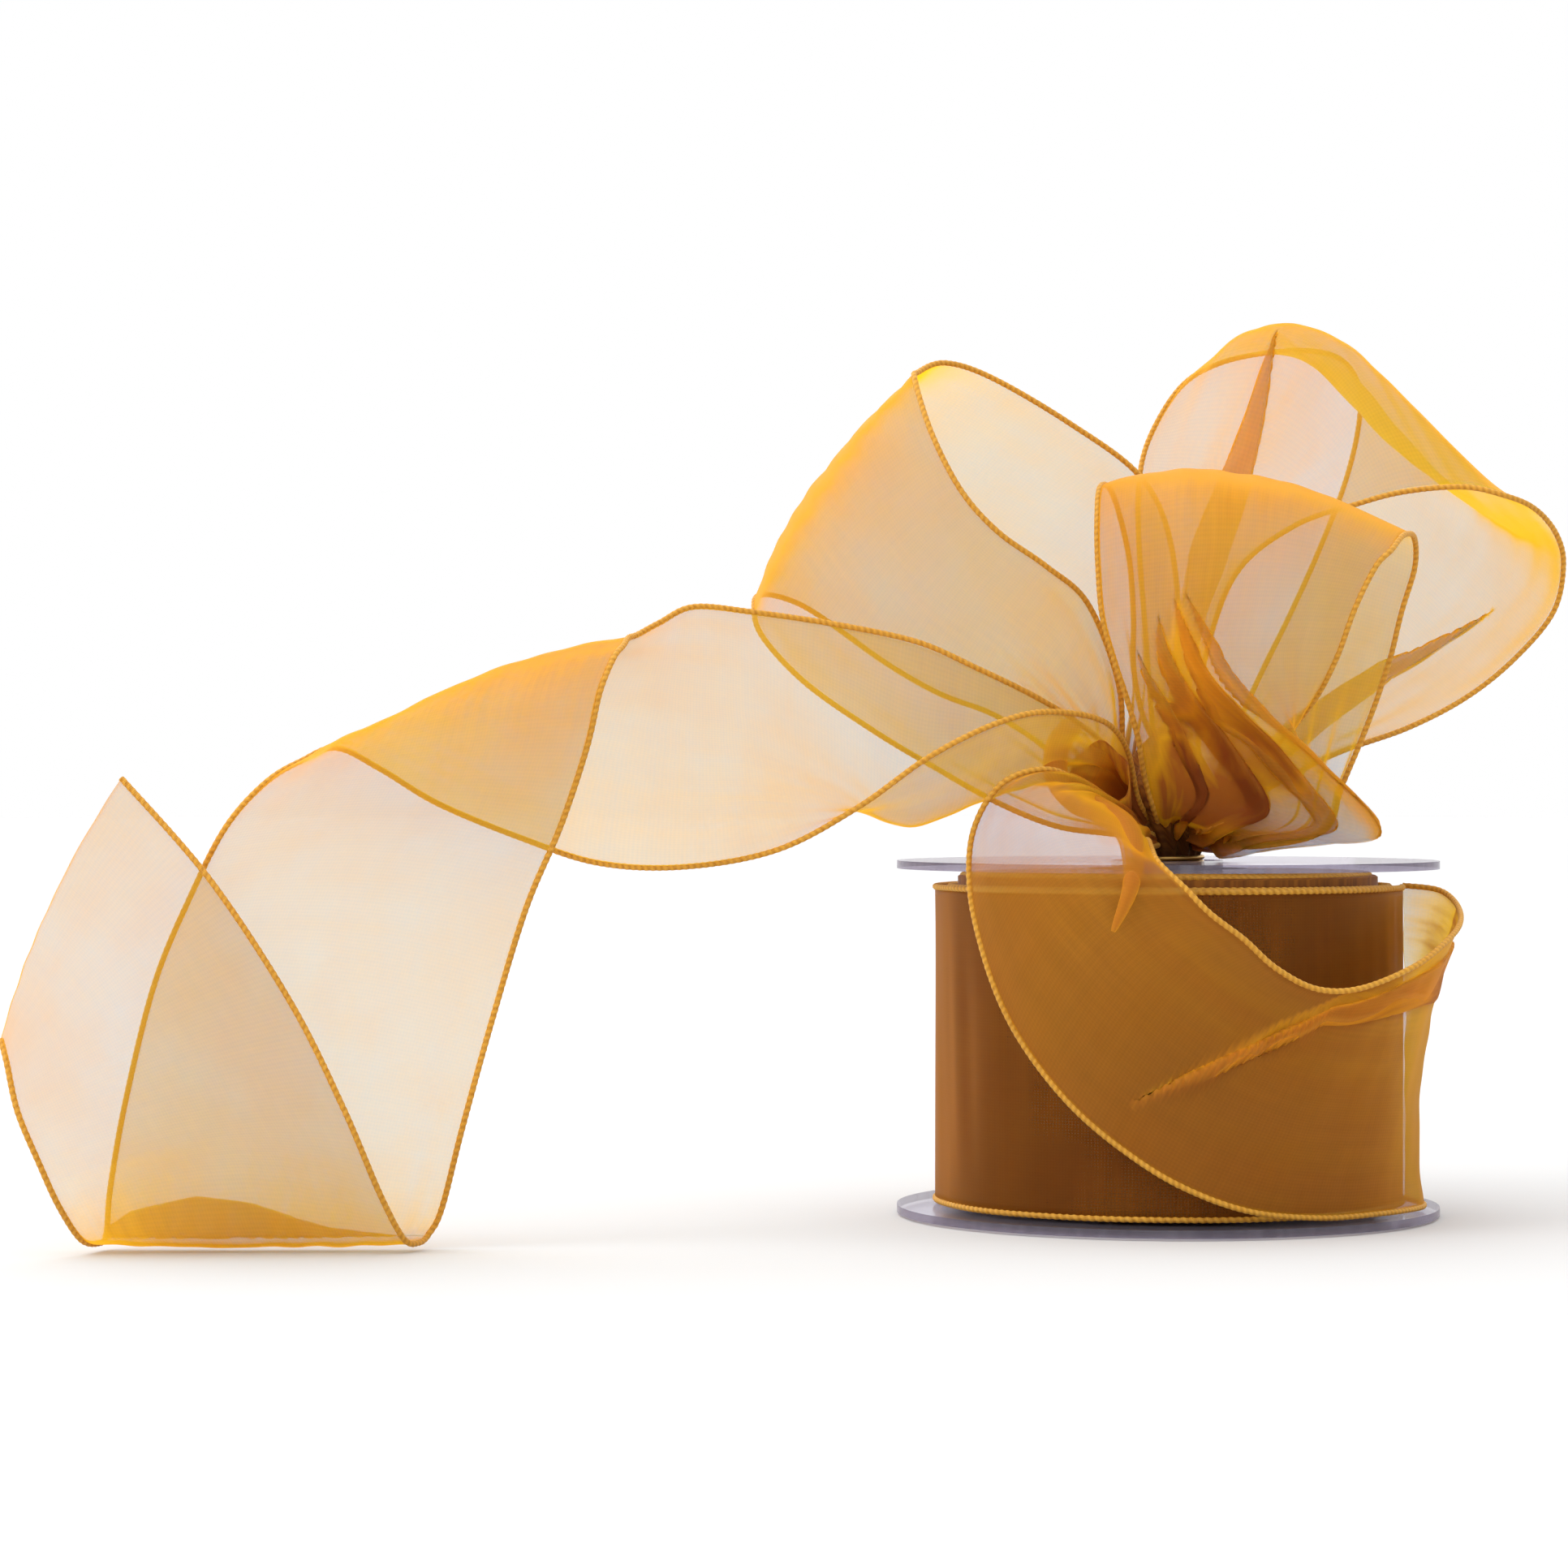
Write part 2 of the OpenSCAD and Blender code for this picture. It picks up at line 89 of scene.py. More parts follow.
# ---------------------------------------------------------------- routes, as in part.scad
# Each station is [first edge, middle, second edge], in millimetres.
LEFT_LOOP = [
    [[-3, 5.5, 54], [-5, 4.5, 52], [-6, 3, 49.5]],
    [[0, 6.5, 60], [-6, 6.5, 55.5], [-10, 7.5, 51.5]],
    [[2, 7, 72.5], [-5, 10.5, 65.5], [-13.5, 14, 57.5]],
    [[1, 7.5, 85], [-8, 12.5, 76.5], [-20.5, 17, 62.5]],
    [[-3, 6, 93], [-15.5, 14, 82], [-28, 18, 65.5]],
    [[-12, 4, 99.5], [-24.5, 14, 87], [-35, 18, 69.5]],
    [[-22, 1, 105], [-33, 13, 92], [-43.5, 17, 75.5]],
    [[-28, -3, 106.5], [-39.5, 10, 95], [-47.5, 14, 77.5]],
    [[-31.5, -7, 105], [-44.5, 3, 91.5], [-51, 9, 78]],
    [[-32, -11, 103.5], [-45, -4, 89.5], [-52, 4, 76.5]],
    [[-30, -15, 96.5], [-43, -10, 85.5], [-51, 1, 72.5]],
    [[-26.5, -17, 89.5], [-38, -13, 78.5], [-45.5, 0, 66.5]],
    [[-22, -17, 84.5], [-32, -13.5, 72.5], [-37, -1, 60.5]],
    [[-16, -14, 80.5], [-25, -12, 67.5], [-29.5, -1, 56]],
    [[-10.5, -9, 76], [-18, -8.5, 62], [-21.5, -1.5, 51.5]],
    [[-6.5, -6, 66], [-11, -5, 56], [-14, -1, 48.5]],
    [[-5.5, -3.5, 56], [-6.5, -2, 51.5], [-7, 0, 47.5]],
]
FRONT_LOOP = [
    [[-2, -6.5, 50], [12, -10, 46.5], [3, -6, 49.5]],
    [[-3.5, -8.5, 54.5], [25, -14, 47.5], [6, -6.5, 52.5]],
    [[-4.5, -10.5, 59.5], [17, -18, 56.5], [11, -12, 57]],
    [[-6, -11.5, 64.5], [9, -21, 63], [16, -18.5, 63.5]],
    [[-7.5, -12, 69], [5, -22.5, 69], [18.5, -23, 69]],
    [[-9, -12, 74.5], [5.5, -24, 75.5], [20.5, -25, 75]],
    [[-9.5, -11, 81.5], [6.5, -24, 83], [23, -25, 80]],
    [[-9.5, -10, 86.5], [7, -22, 88.5], [25, -24, 82]],
    [[-9, -7, 90.5], [8, -16, 91.5], [27, -20, 84]],
    [[-7.5, -2, 91], [9, -8, 91.5], [29, -15, 84]],
    [[-6, 1, 88], [10.5, -4, 87], [29.5, -12, 80.5]],
    [[-4.5, 3, 82], [11, -1, 80], [28, -11, 75]],
    [[-4, 3, 75], [11, 1, 72], [26.5, -10, 68.5]],
    [[-4, 2, 68], [11, 2, 63.5], [24, -9, 61]],
    [[-2.5, 0.5, 61], [11, 1, 56], [21, -8, 53.5]],
    [[1, -1, 56], [11, 0, 51], [19, -6.5, 48]],
    [[5.5, -3.5, 52], [8, -2, 48.5], [11, -4, 46]],
]
RIGHT_LOOP = [
    [[-1.5, 6, 51], [0.5, 6.5, 50], [2.5, 6, 50.5]],
    [[-1, 9, 58.5], [2, 8.5, 57], [4.5, 7, 56.5]],
    [[-1.5, 14, 72], [2, 11.5, 69], [5, 8.5, 67]],
    [[-2, 20, 86], [5, 15, 82], [9, 7, 80]],
    [[-1.5, 24, 94.5], [9, 16.5, 92], [16.5, 6.5, 86.5]],
    [[0.5, 27, 100.5], [14, 18.5, 101.5], [25, 6, 89.5]],
    [[4.5, 29, 106.5], [19, 20.5, 111], [31, 6, 91]],
    [[9.5, 30, 109.5], [23, 21.5, 112.5], [38, 5, 91.5]],
    [[16, 31, 111], [28, 22.5, 106], [43, 5, 90.5]],
    [[22.5, 34, 111.5], [34, 27, 97], [47.5, 8, 89]],
    [[27, 38, 110.5], [40.5, 33.5, 93], [51, 12, 86]],
    [[29.5, 41, 107], [44, 38, 91.5], [52.5, 15, 82]],
    [[29.5, 43, 101.5], [43.5, 40, 88], [51.5, 17, 76]],
    [[27.5, 42, 94], [39.5, 37, 81.5], [46.5, 17, 70]],
    [[23.5, 37, 85], [32.5, 31, 74], [40, 15, 65]],
    [[19, 30, 76.5], [25.5, 24, 68], [32, 12, 61]],
    [[13.5, 21, 67], [18, 16.5, 61.5], [22, 9, 57.5]],
    [[8.5, 12, 57.5], [10.5, 9, 54], [12, 5, 52.5]],
    [[5, 4.5, 51], [6, 3, 50], [6.5, 1, 49.5]],
]
TAIL = [
    [[-5, -4.5, 51], [-4.5, -5.5, 49.5], [-4, -6.5, 51.5]],
    [[-7, -8, 57], [-7.5, -9, 53.5], [-6, -12.5, 58]],
    [[-11.5, -12, 61], [-12.5, -15, 54], [-9.5, -19, 61.5]],
    [[-17.5, -16, 64.5], [-18.5, -19, 53.5], [-16.5, -25, 62.5]],
    [[-25, -19.5, 68], [-25.5, -21.5, 51.5], [-23, -29, 61]],
    [[-32, -21, 71], [-34, -24, 49.5], [-31, -31, 57]],
    [[-41.5, -23, 73], [-42, -27, 54.5], [-39.5, -32, 51]],
    [[-52, -25, 74.5], [-51.5, -32, 58.5], [-49, -32, 46]],
    [[-59, -28, 75], [-59.5, -37, 59.5], [-60, -33, 44]],
    [[-63, -31, 73], [-67, -41, 61], [-70, -36, 44.5]],
    [[-65.5, -34, 71.5], [-74, -44, 62], [-79, -39, 47.5]],
    [[-66.5, -37, 71], [-80.5, -46.5, 65], [-88.5, -41, 51.5]],
    [[-67, -40, 70], [-85, -49, 65.5], [-95, -43, 55.5]],
    [[-68, -43, 68.5], [-87, -51.5, 64], [-100, -45, 58]],
    [[-69.5, -45.5, 64.5], [-88.5, -52.5, 61.5], [-104, -46, 56.5]],
    [[-71, -46, 58], [-90, -52, 57], [-108, -47, 54]],
    [[-74, -46, 49], [-93, -51, 51], [-112.5, -47, 49]],
    [[-78, -46, 39.5], [-97.5, -49.5, 43], [-116.5, -46, 41.5]],
    [[-82, -45, 26.5], [-101.5, -47.5, 31], [-121, -45, 31]],
    [[-85.5, -44, 14], [-105, -45.5, 17.5], [-124.5, -44, 17.5]],
    [[-88, -42.5, 4.5], [-107.5, -43.5, 6.5], [-126.5, -43, 7]],
    [[-89.5, -42.5, 1.5], [-108.5, -43, 1.5], [-127, -43, 1.5]],
    [[-90.5, -45, 0.7], [-109, -45.5, 0.3], [-127.5, -45.5, 0.7]],
    [[-92, -48, 1.5], [-110, -48.5, 2], [-129, -49, 1.5]],
    [[-94.5, -51, 7], [-112, -53, 10], [-131, -52, 5.5]],
    [[-98.5, -53, 17], [-115, -55, 15.5], [-133, -53.5, 10.5]],
    [[-104.5, -53, 29], [-119.5, -55.5, 24], [-135.5, -53.5, 16.5]],
    [[-114, -51, 43], [-125.5, -54, 33], [-137, -52, 22]],
    [[-124.5, -48, 54.5], [-132.5, -51, 39.5], [-138, -50, 24.5]],
]
LEAD = [
    [[29.8, -1, 1.8], [29.8, -1, 21], [29.8, 1, 41]],
    [[30.5, -4, 1.8], [30, -4, 20.5], [34, -0.5, 40.5]],
    [[31, -9, 1.8], [30.5, -9, 20], [35.5, -5.5, 39]],
    [[29.5, -14.5, 1.8], [30, -15, 20], [35, -13, 37]],
    [[24, -21.5, 1.8], [27.5, -21.5, 20.5], [32.5, -20, 35]],
    [[16, -27, 1.8], [22, -27.5, 20.5], [27.5, -26.5, 32]],
    [[7, -31, 3], [15.5, -31.5, 21], [20.5, -30.5, 29.5]],
    [[-1, -32, 6], [9, -33.5, 23], [15, -32.5, 29.5]],
    [[-7.5, -31, 10], [2.5, -35, 26.5], [10, -34.5, 32]],
    [[-13.5, -30, 15], [-3.5, -36, 31], [6, -36, 35.5]],
    [[-18.5, -29, 21], [-9, -36.5, 36], [2, -37, 38.5]],
    [[-22, -28.5, 27], [-13.5, -36.5, 41], [-1, -37, 41.5]],
    [[-24.5, -28, 34], [-16.5, -35.5, 46], [-4, -35.5, 44.5]],
    [[-26, -28, 41.5], [-17, -34, 50], [-4.5, -31.5, 46]],
    [[-25.5, -28.5, 48.5], [-15.5, -31.5, 52.5], [-4.5, -26.5, 47]],
    [[-22, -29, 54], [-13, -28, 53], [-4.5, -21, 47]],
    [[-16, -27, 55.5], [-10, -22.5, 52], [-4, -15.5, 46.8]],
    [[-10, -20, 52], [-6.5, -15, 49.5], [-3.5, -10.5, 46.6]],
    [[-5.5, -11, 49], [-4, -9, 47.5], [-2.5, -7, 46]],
]


# ---------------------------------------------------------------- mesh helpers
def unit(v):
    return v / np.maximum(np.linalg.norm(v, axis=-1, keepdims=True), 1e-12)


def smoothstep(x):
    x = np.clip(x, 0, 1)
    return x * x * (3 - 2 * x)


def smooth_rows(points, steps):
    """Catmull-Rom rows through points, with steps rows to each gap."""
    points = np.asarray(points, float)
    last = len(points) - 1
    rows = []
    for i in range(last * steps + 1):
        k = min(i // steps, last - 1)
        t = i / steps - k
        p0, p1 = points[max(k - 1, 0)], points[k]
        p2, p3 = points[k + 1], points[min(k + 2, last)]
        bend = (2 * p0 - 5 * p1 + 4 * p2 - p3) * t * t
        rows.append(0.5 * (2 * p1 + (p2 - p0) * t + bend + (3 * p1 - p0 - 3 * p2 + p3) * t ** 3))
    return np.array(rows)


def new_object(name, verts, faces, cloth, material, flat_from=None):
    """A mesh object with its cloth coordinates: metres across, metres along, gathering, and on
    sheets the extra layers. Faces from number flat_from on are shaded flat."""
    mesh = bpy.data.meshes.new(name)
    mesh.from_pydata(np.asarray(verts).tolist(), [], [list(f) for f in faces])
    smooth = np.ones(len(mesh.polygons), bool)
    if flat_from is not None:
        smooth[flat_from:] = False
    mesh.polygons.foreach_set("use_smooth", smooth)
    attribute = mesh.attributes.new("cloth", "FLOAT_VECTOR", "POINT")
    cloth = np.asarray(cloth, np.float32).reshape(len(verts), -1)
    attribute.data.foreach_set("vector", cloth[:, :3].ravel())
    if cloth.shape[1] > 3:
        crumple = mesh.attributes.new("crumple", "FLOAT", "POINT")
        crumple.data.foreach_set("value", cloth[:, 3].ravel())
    mesh.materials.append(material)
    obj = bpy.data.objects.new(name, mesh)
    bpy.context.scene.collection.objects.link(obj)
    return obj


def grid_normals(grid):
    return unit(np.cross(np.gradient(grid, axis=0), np.gradient(grid, axis=1)))


def sheet_object(name, grid, cloth, thickness, material):
    """A closed sheet of even thickness about a grid of points."""
    rows, cols = grid.shape[:2]
    half = thickness / 2 * grid_normals(grid)
    verts = np.concatenate([(grid + half).reshape(-1, 3), (grid - half).reshape(-1, 3)])
    n = rows * cols
    index = np.arange(n).reshape(rows, cols)
    a, b = index[:-1, :-1].ravel(), index[:-1, 1:].ravel()
    c, d = index[1:, 1:].ravel(), index[1:, :-1].ravel()
    front = np.stack([a, d, c, b], 1)
    back = np.stack([a, b, c, d], 1) + n
    first, final = index[:, 0], index[:, -1]
    top, foot = index[0], index[-1]
    rims = [
        np.stack([first[:-1], first[:-1] + n, first[1:] + n, first[1:]], 1),
        np.stack([final[:-1], final[1:], final[1:] + n, final[:-1] + n], 1),
        np.stack([top[:-1], top[1:], top[1:] + n, top[:-1] + n], 1),
        np.stack([foot[:-1], foot[:-1] + n, foot[1:] + n, foot[1:]], 1),
    ]
    faces = np.concatenate([front, back, *rims])
    data = np.concatenate([cloth.reshape(n, -1)] * 2)
    return new_object(name, verts, faces, data, material, flat_from=2 * len(front))


def resample(path, pitch):
    """Points at an even pitch along a path, and their distance along it."""
    path = np.asarray(path, float)
    steps = np.linalg.norm(np.diff(path, axis=0), axis=1)
    at = np.concatenate([[0], np.cumsum(steps)])
    s = np.linspace(0, at[-1], max(int(round(at[-1] / pitch)), 2) + 1)
    return np.stack([np.interp(s, at, path[:, i]) for i in range(3)], 1), s


def tube_object(name, path, material, radius, bead, bead_pitch, sides=8, pitch=0.2 * MM):
    """An overlocked wire: a tube along a path, with thread wound round it as slanting beads."""
    points, s = resample(path, pitch)
    along = unit(np.gradient(points, axis=0))
    up = np.array([0.3, 0.2, 1.0])
    side = []
    for direction in along:
        up = unit(up - direction * (up @ direction))
        side.append(up)
    side = np.array(side)
    other = np.cross(along, side)
    angle = np.linspace(0, 2 * math.pi, sides, endpoint=False)
    wave = np.cos(2 * math.pi * s[:, None] / bead_pitch - angle[None, :])
    r = radius + bead * (0.3 + 0.7 * wave)
    rings = points[:, None] + r[..., None] * (
        np.cos(angle)[None, :, None] * side[:, None] + np.sin(angle)[None, :, None] * other[:, None]
    )
    n = len(points)
    index = np.arange(n * sides).reshape(n, sides)
    nxt = np.roll(index, -1, axis=1)
    walls = np.stack([index[:-1], nxt[:-1], nxt[1:], index[1:]], -1).reshape(-1, 4)
    faces = walls.tolist() + [index[0][::-1].tolist(), index[-1].tolist()]
    # Around, along, and the bead's crest, which the wire's material uses for painted light on crests and
    # painted shade in grooves.
    cloth = np.stack([
        np.broadcast_to(angle[None, :] * radius, (n, sides)),
        np.broadcast_to(s[:, None], (n, sides)),
        0.5 + 0.5 * wave,
    ], -1)
    return new_object(name, rings.reshape(-1, 3), faces, cloth.reshape(-1, 3), material)


def ripple(rng, across, along, waves, amplitude, stretch):
    """Soft random ripples over a sheet, longer along it than across it by stretch."""
    total = np.zeros(np.broadcast(across, along).shape)
    for _ in range(waves):
        size = rng.uniform(4, 16) * MM
        turn = rng.normal(0, 0.35)
        kx, ky = math.cos(turn) / size, math.sin(turn) / size / stretch
        total += rng.uniform(0.4, 1) * np.sin(2 * math.pi * (kx * across + ky * along) + rng.uniform(0, 7))
    return total * amplitude / math.sqrt(waves)


# How far to each side of its middle a pleat moves the cloth, in half widths of the pleat.
REACH = 2.2
# The middle of the gather's neck, in millimetres.
NECK = (0.0, 0.0, 46.5)
# Width of the soft border of a fold that lies flat, as a share of the ribbon's width.
FOLD_BORDER = 0.045


def fold(x):
    """How far cloth at x goes when a pleat lays it in three layers from -1 to 1, and how high it lies."""
    wave = np.where(np.abs(x) < REACH, np.sin(math.pi * np.clip(x, -REACH, REACH) / REACH), 0)
    return -1.97 * wave, wave


def patch(place, v, spots, doubled):
    """Extra layers: soft spots of crumpling (row, place across, rows, share across, amount), and folds
    that lie flat on the sheet (rows, lower bounds across, upper bounds across, amount). Large amounts
    also darken the cloth with the painted shade of gathered cloth."""
    total = np.zeros((len(place), len(v)))
    for row, u, rows, share, amount in spots:
        total += amount * np.exp(-((place[:, None] - row) / rows) ** 2 - ((v[None, :] - u) / share) ** 2)
    for rows, lows, highs, amount in doubled:
        low = np.interp(place, rows, lows, left=2, right=2)[:, None]
        high = np.interp(place, rows, highs, left=2, right=2)[:, None]
        inside = smoothstep((v[None, :] - low) / FOLD_BORDER) * smoothstep((high - v[None, :]) / FOLD_BORDER)
        total += amount * inside
    return total


def rooted(stations, gathered):
    """The stations, run on into the neck of the gather at each end that is gathered."""
    rows = np.array(stations, float)
    neck = np.array(NECK)
    if gathered[0]:
        rows = np.concatenate([[0.25 * rows[0] + 0.75 * neck], rows])
    if gathered[1]:
        rows = np.concatenate([rows, [0.25 * rows[-1] + 0.75 * neck]])
    return rows


def lay_darts(darts, place, width, u, lift):
    """Pointed pleats: each runs from a point to an open end, as (row, place across, half width in mm)."""
    for path in darts:
        path = sorted(path)
        at = [point[0] for point in path]
        centre = np.interp(place, at, [point[1] for point in path])
        half = np.interp(place, at, [point[2] for point in path], left=0, right=0) * MM
        room = np.maximum(np.minimum(centre, 1 - centre), 0.02) * width / REACH
        half = np.minimum(half, 0.97 * room)
        for i in np.nonzero(half > 0.05 * MM)[0]:
            move, height = fold((u[i] - centre[i]) * width[i] / half[i])
            u[i] += move * half[i] / width[i]
            lift[i] += 0.3 * MM * min(1, half[i] / MM) * height


def lay_tucks(tucks, place, raw, v, lift):
    """Tucks folded along the strip, as (row, points across, half heights there in mm). Gives how far each
    point of the cloth shifts along the strip."""
    shift = np.zeros((len(place), len(v)))
    for row, points, halves in tucks:
        w = np.maximum(np.interp(v, points, halves), 0.05)[None, :] * MM
        move, height = fold((raw[:, None] - np.interp(row, place, raw) + w) / w)
        shift += move * w
        lift += 0.3 * MM * np.minimum(w / MM, 1) * height
    return shift


def distance_along(points):
    return np.cumsum(np.concatenate([[0], np.linalg.norm(np.diff(points, axis=0), axis=1)]))


def strip(name, stations, material, seed, pleats, gathered=(True, True), reach=30,
          darts=(), tucks=(), creases=(), crumples=(), doubled=()):
    """One stretch of the ribbon: its web as a pleated sheet, and the paths of its two edges."""
    rng = np.random.default_rng(seed)
    wrinkle = 0.15
    rows = smooth_rows(rooted(stations, gathered) * MM, ROW_STEPS)
    rows[..., 2] = np.maximum(rows[..., 2], WIRE_LOWEST)
    n = len(rows)
    place = np.arange(n) / ROW_STEPS - (1 if gathered[0] else 0)
    edge_a, middle, edge_b = rows[:, 0], rows[:, 1], rows[:, 2]
    v = np.linspace(0.006, 0.994, WEB_COLS)
    u = np.broadcast_to(v, (n, WEB_COLS)).copy()
    lift = np.zeros((n, WEB_COLS))
    chord = np.linalg.norm(edge_b - edge_a, axis=1)
    rise = np.linalg.norm(middle - (edge_a + edge_b) / 2, axis=1)
    width = np.sqrt(chord ** 2 + 16 / 3 * rise ** 2)
    lay_darts(darts, place, width, u, lift)
    raw = distance_along(middle)
    shift = lay_tucks(tucks, place, raw, v, lift)
    # Creases: the section is folded sharply up to the first row given, and is round from the second.
    sharp = np.zeros(n)
    for start, finish, amount in creases:
        sharp = np.maximum(sharp, amount * (1 - smoothstep((place - start) / (finish - start))))
    x = 2 * u - 1
    soft = 0.12
    corner = (np.sqrt(x * x + soft ** 2) - soft) / (math.sqrt(1 + soft ** 2) - soft)
    h = x * x * (1 - sharp[:, None]) + corner * sharp[:, None]
    base = middle[:, None] + x[..., None] * ((edge_b - edge_a) / 2)[:, None]
    base = base + h[..., None] * ((edge_a + edge_b) / 2 - middle)[:, None]
    if tucks:
        for j in range(WEB_COLS):
            at = np.clip(raw + shift[:, j], 0, raw[-1])
            base[:, j] = np.stack([np.interp(at, raw, base[:, j, k]) for k in range(3)], 1)
    # Gathering: cloth that the short sections have no room for stands up in pleats.
    span = np.linalg.norm(np.diff(base, axis=1), axis=2).sum(1)
    spare = np.clip(RIBBON_W / span, 1, 3.2)
    kernel = np.ones(9) / 9
    spare = np.convolve(np.pad(spare, 4, "edge"), kernel, "valid")
    length = distance_along((edge_a + edge_b) / 2)
    near = np.zeros(n)
    if gathered[0]:
        near = smoothstep(1 - length / (reach * MM))
    if gathered[1]:
        near = np.maximum(near, smoothstep(1 - (length[-1] - length) / (reach * MM)))
    spare = 1 + (spare - 1) * near
    turn = v + 0.05 * np.sin(2 * math.pi * v * 1.3 + seed) + 0.02 * np.sin(2 * math.pi * v * 3.1 + 2 * seed)
    weight = 1 + 0.4 * np.sin(2 * math.pi * v * 1.7 + 3 * seed)
    wave = np.sin(2 * math.pi * pleats * turn)
    height = span / pleats / 4 * np.sqrt(spare ** 2 - 1)
    border = smoothstep(np.minimum(v, 1 - v) * width[:, None] / (2 * MM))
    lift = lift + height[:, None] * (wave * weight)[None, :] * border
    lift = lift + ripple(rng, v[None, :] * RIBBON_W, length[:, None], 9, wrinkle * MM, 4) * border
    lift = lift + ripple(rng, length[:, None], v[None, :] * RIBBON_W, 7, wrinkle * 0.6 * MM, 3) * border
    across = unit(edge_b - edge_a)
    along = unit(np.gradient((edge_a + edge_b) / 2, axis=0))
    out = unit(np.cross(along, across))
    local = grid_normals(base)
    blend = smoothstep((spare - 1.05) / 0.5)[:, None, None]
    normal = unit(local * (1 - blend) + out[:, None] * blend)
    grid = base + lift[..., None] * normal
    # Dense gathering: more opaque cloth, and in the material the painted shade of gathered cloth.
    dense = smoothstep((spare - 1.25) / 1.9)
    cloth = np.stack([
        np.broadcast_to(v[None, :] * RIBBON_W, (n, WEB_COLS)),
        np.broadcast_to(length[:, None], (n, WEB_COLS)),
        np.broadcast_to(dense[:, None], (n, WEB_COLS)),
        patch(place, v, crumples, doubled),
    ], -1)
    grid[..., 2] = np.maximum(grid[..., 2], WEB_LOWEST)
    web = sheet_object(name, grid, cloth, SHEET_T, material)
    return web, edge_a, edge_b


def lathe_object(name, profile, shade, material, shape, segments=288):
    """A closed solid of revolution whose radius shape(r, z, angle) changes. Shade darkens its rings."""
    profile = np.asarray(profile, float)
    angle = np.linspace(0, 2 * math.pi, segments, endpoint=False)
    r = np.broadcast_to(profile[:, 0][:, None], (len(profile), segments)).copy()
    z = np.broadcast_to(profile[:, 1][:, None], r.shape).copy()
    r = shape(r, z, angle)
    verts = np.stack([r * np.cos(angle), r * np.sin(angle), z], -1)
    n = len(profile)
    index = np.arange(n * segments).reshape(n, segments)
    nxt = np.roll(index, -1, axis=1)
    walls = np.stack([index[:-1], nxt[:-1], nxt[1:], index[1:]], -1).reshape(-1, 4)
    faces = walls.tolist() + [index[0][::-1].tolist(), index[-1].tolist()]
    cloth = np.stack([z, angle[None, :] * r, np.broadcast_to(shade[:, None], r.shape)], -1)
    return new_object(name, verts.reshape(-1, 3), faces, cloth.reshape(-1, 3), material)


# ---------------------------------------------------------------- materials
class Tree:
    """A material's node tree, with short calls to add and link nodes."""

    def __init__(self, name):
        self.material = bpy.data.materials.new(name)
        self.material.use_nodes = True
        self.nodes = self.material.node_tree.nodes
        self.links = self.material.node_tree.links
        self.nodes.clear()

    def add(self, kind, inputs=None, **settings):
        node = self.nodes.new(kind)
        for key, value in settings.items():
            setattr(node, key, value)
        for key, value in (inputs or {}).items():
            socket = node.inputs[key]
            if isinstance(value, bpy.types.NodeSocket):
                self.links.new(value, socket)
            else:
                socket.default_value = value
        return node

    def math(self, operation, a, b=0.0, clamp=False):
        node = self.add("ShaderNodeMath", {0: a, 1: b}, operation=operation, use_clamp=clamp)
        return node.outputs[0]

    def mix(self, factor, a, b):
        node = self.add("ShaderNodeMix", data_type="RGBA")
        for socket, value in zip([node.inputs[0], node.inputs[6], node.inputs[7]], [factor, a, b]):
            if isinstance(value, bpy.types.NodeSocket):
                self.links.new(value, socket)
            elif isinstance(value, tuple) and len(value) == 3:
                socket.default_value = (*value, 1)
            else:
                socket.default_value = value
        return node.outputs[2]

    def ramp(self, value, low, high, out_low=0.0, out_high=1.0):
        node = self.add("ShaderNodeMapRange", {0: value, 1: low, 2: high, 3: out_low, 4: out_high})
        return node.outputs[0]

    def noise(self, vector, scale, detail=2.0, stretch=(1, 1, 1)):
        mapped = self.add("ShaderNodeMapping", {"Vector": vector, "Scale": stretch}).outputs[0]
        return self.add("ShaderNodeTexNoise", {"Vector": mapped, "Scale": scale, "Detail": detail}).outputs[0]

    def cloth(self):
        """The cloth coordinates, as a vector and as its three numbers."""
        vector = self.add("ShaderNodeAttribute", attribute_name="cloth").outputs["Vector"]
        parts = self.add("ShaderNodeSeparateXYZ", {0: vector}).outputs
        return vector, parts[0], parts[1], parts[2]

    def done(self, shader):
        self.add("ShaderNodeOutputMaterial", {0: shader})
        return self.material


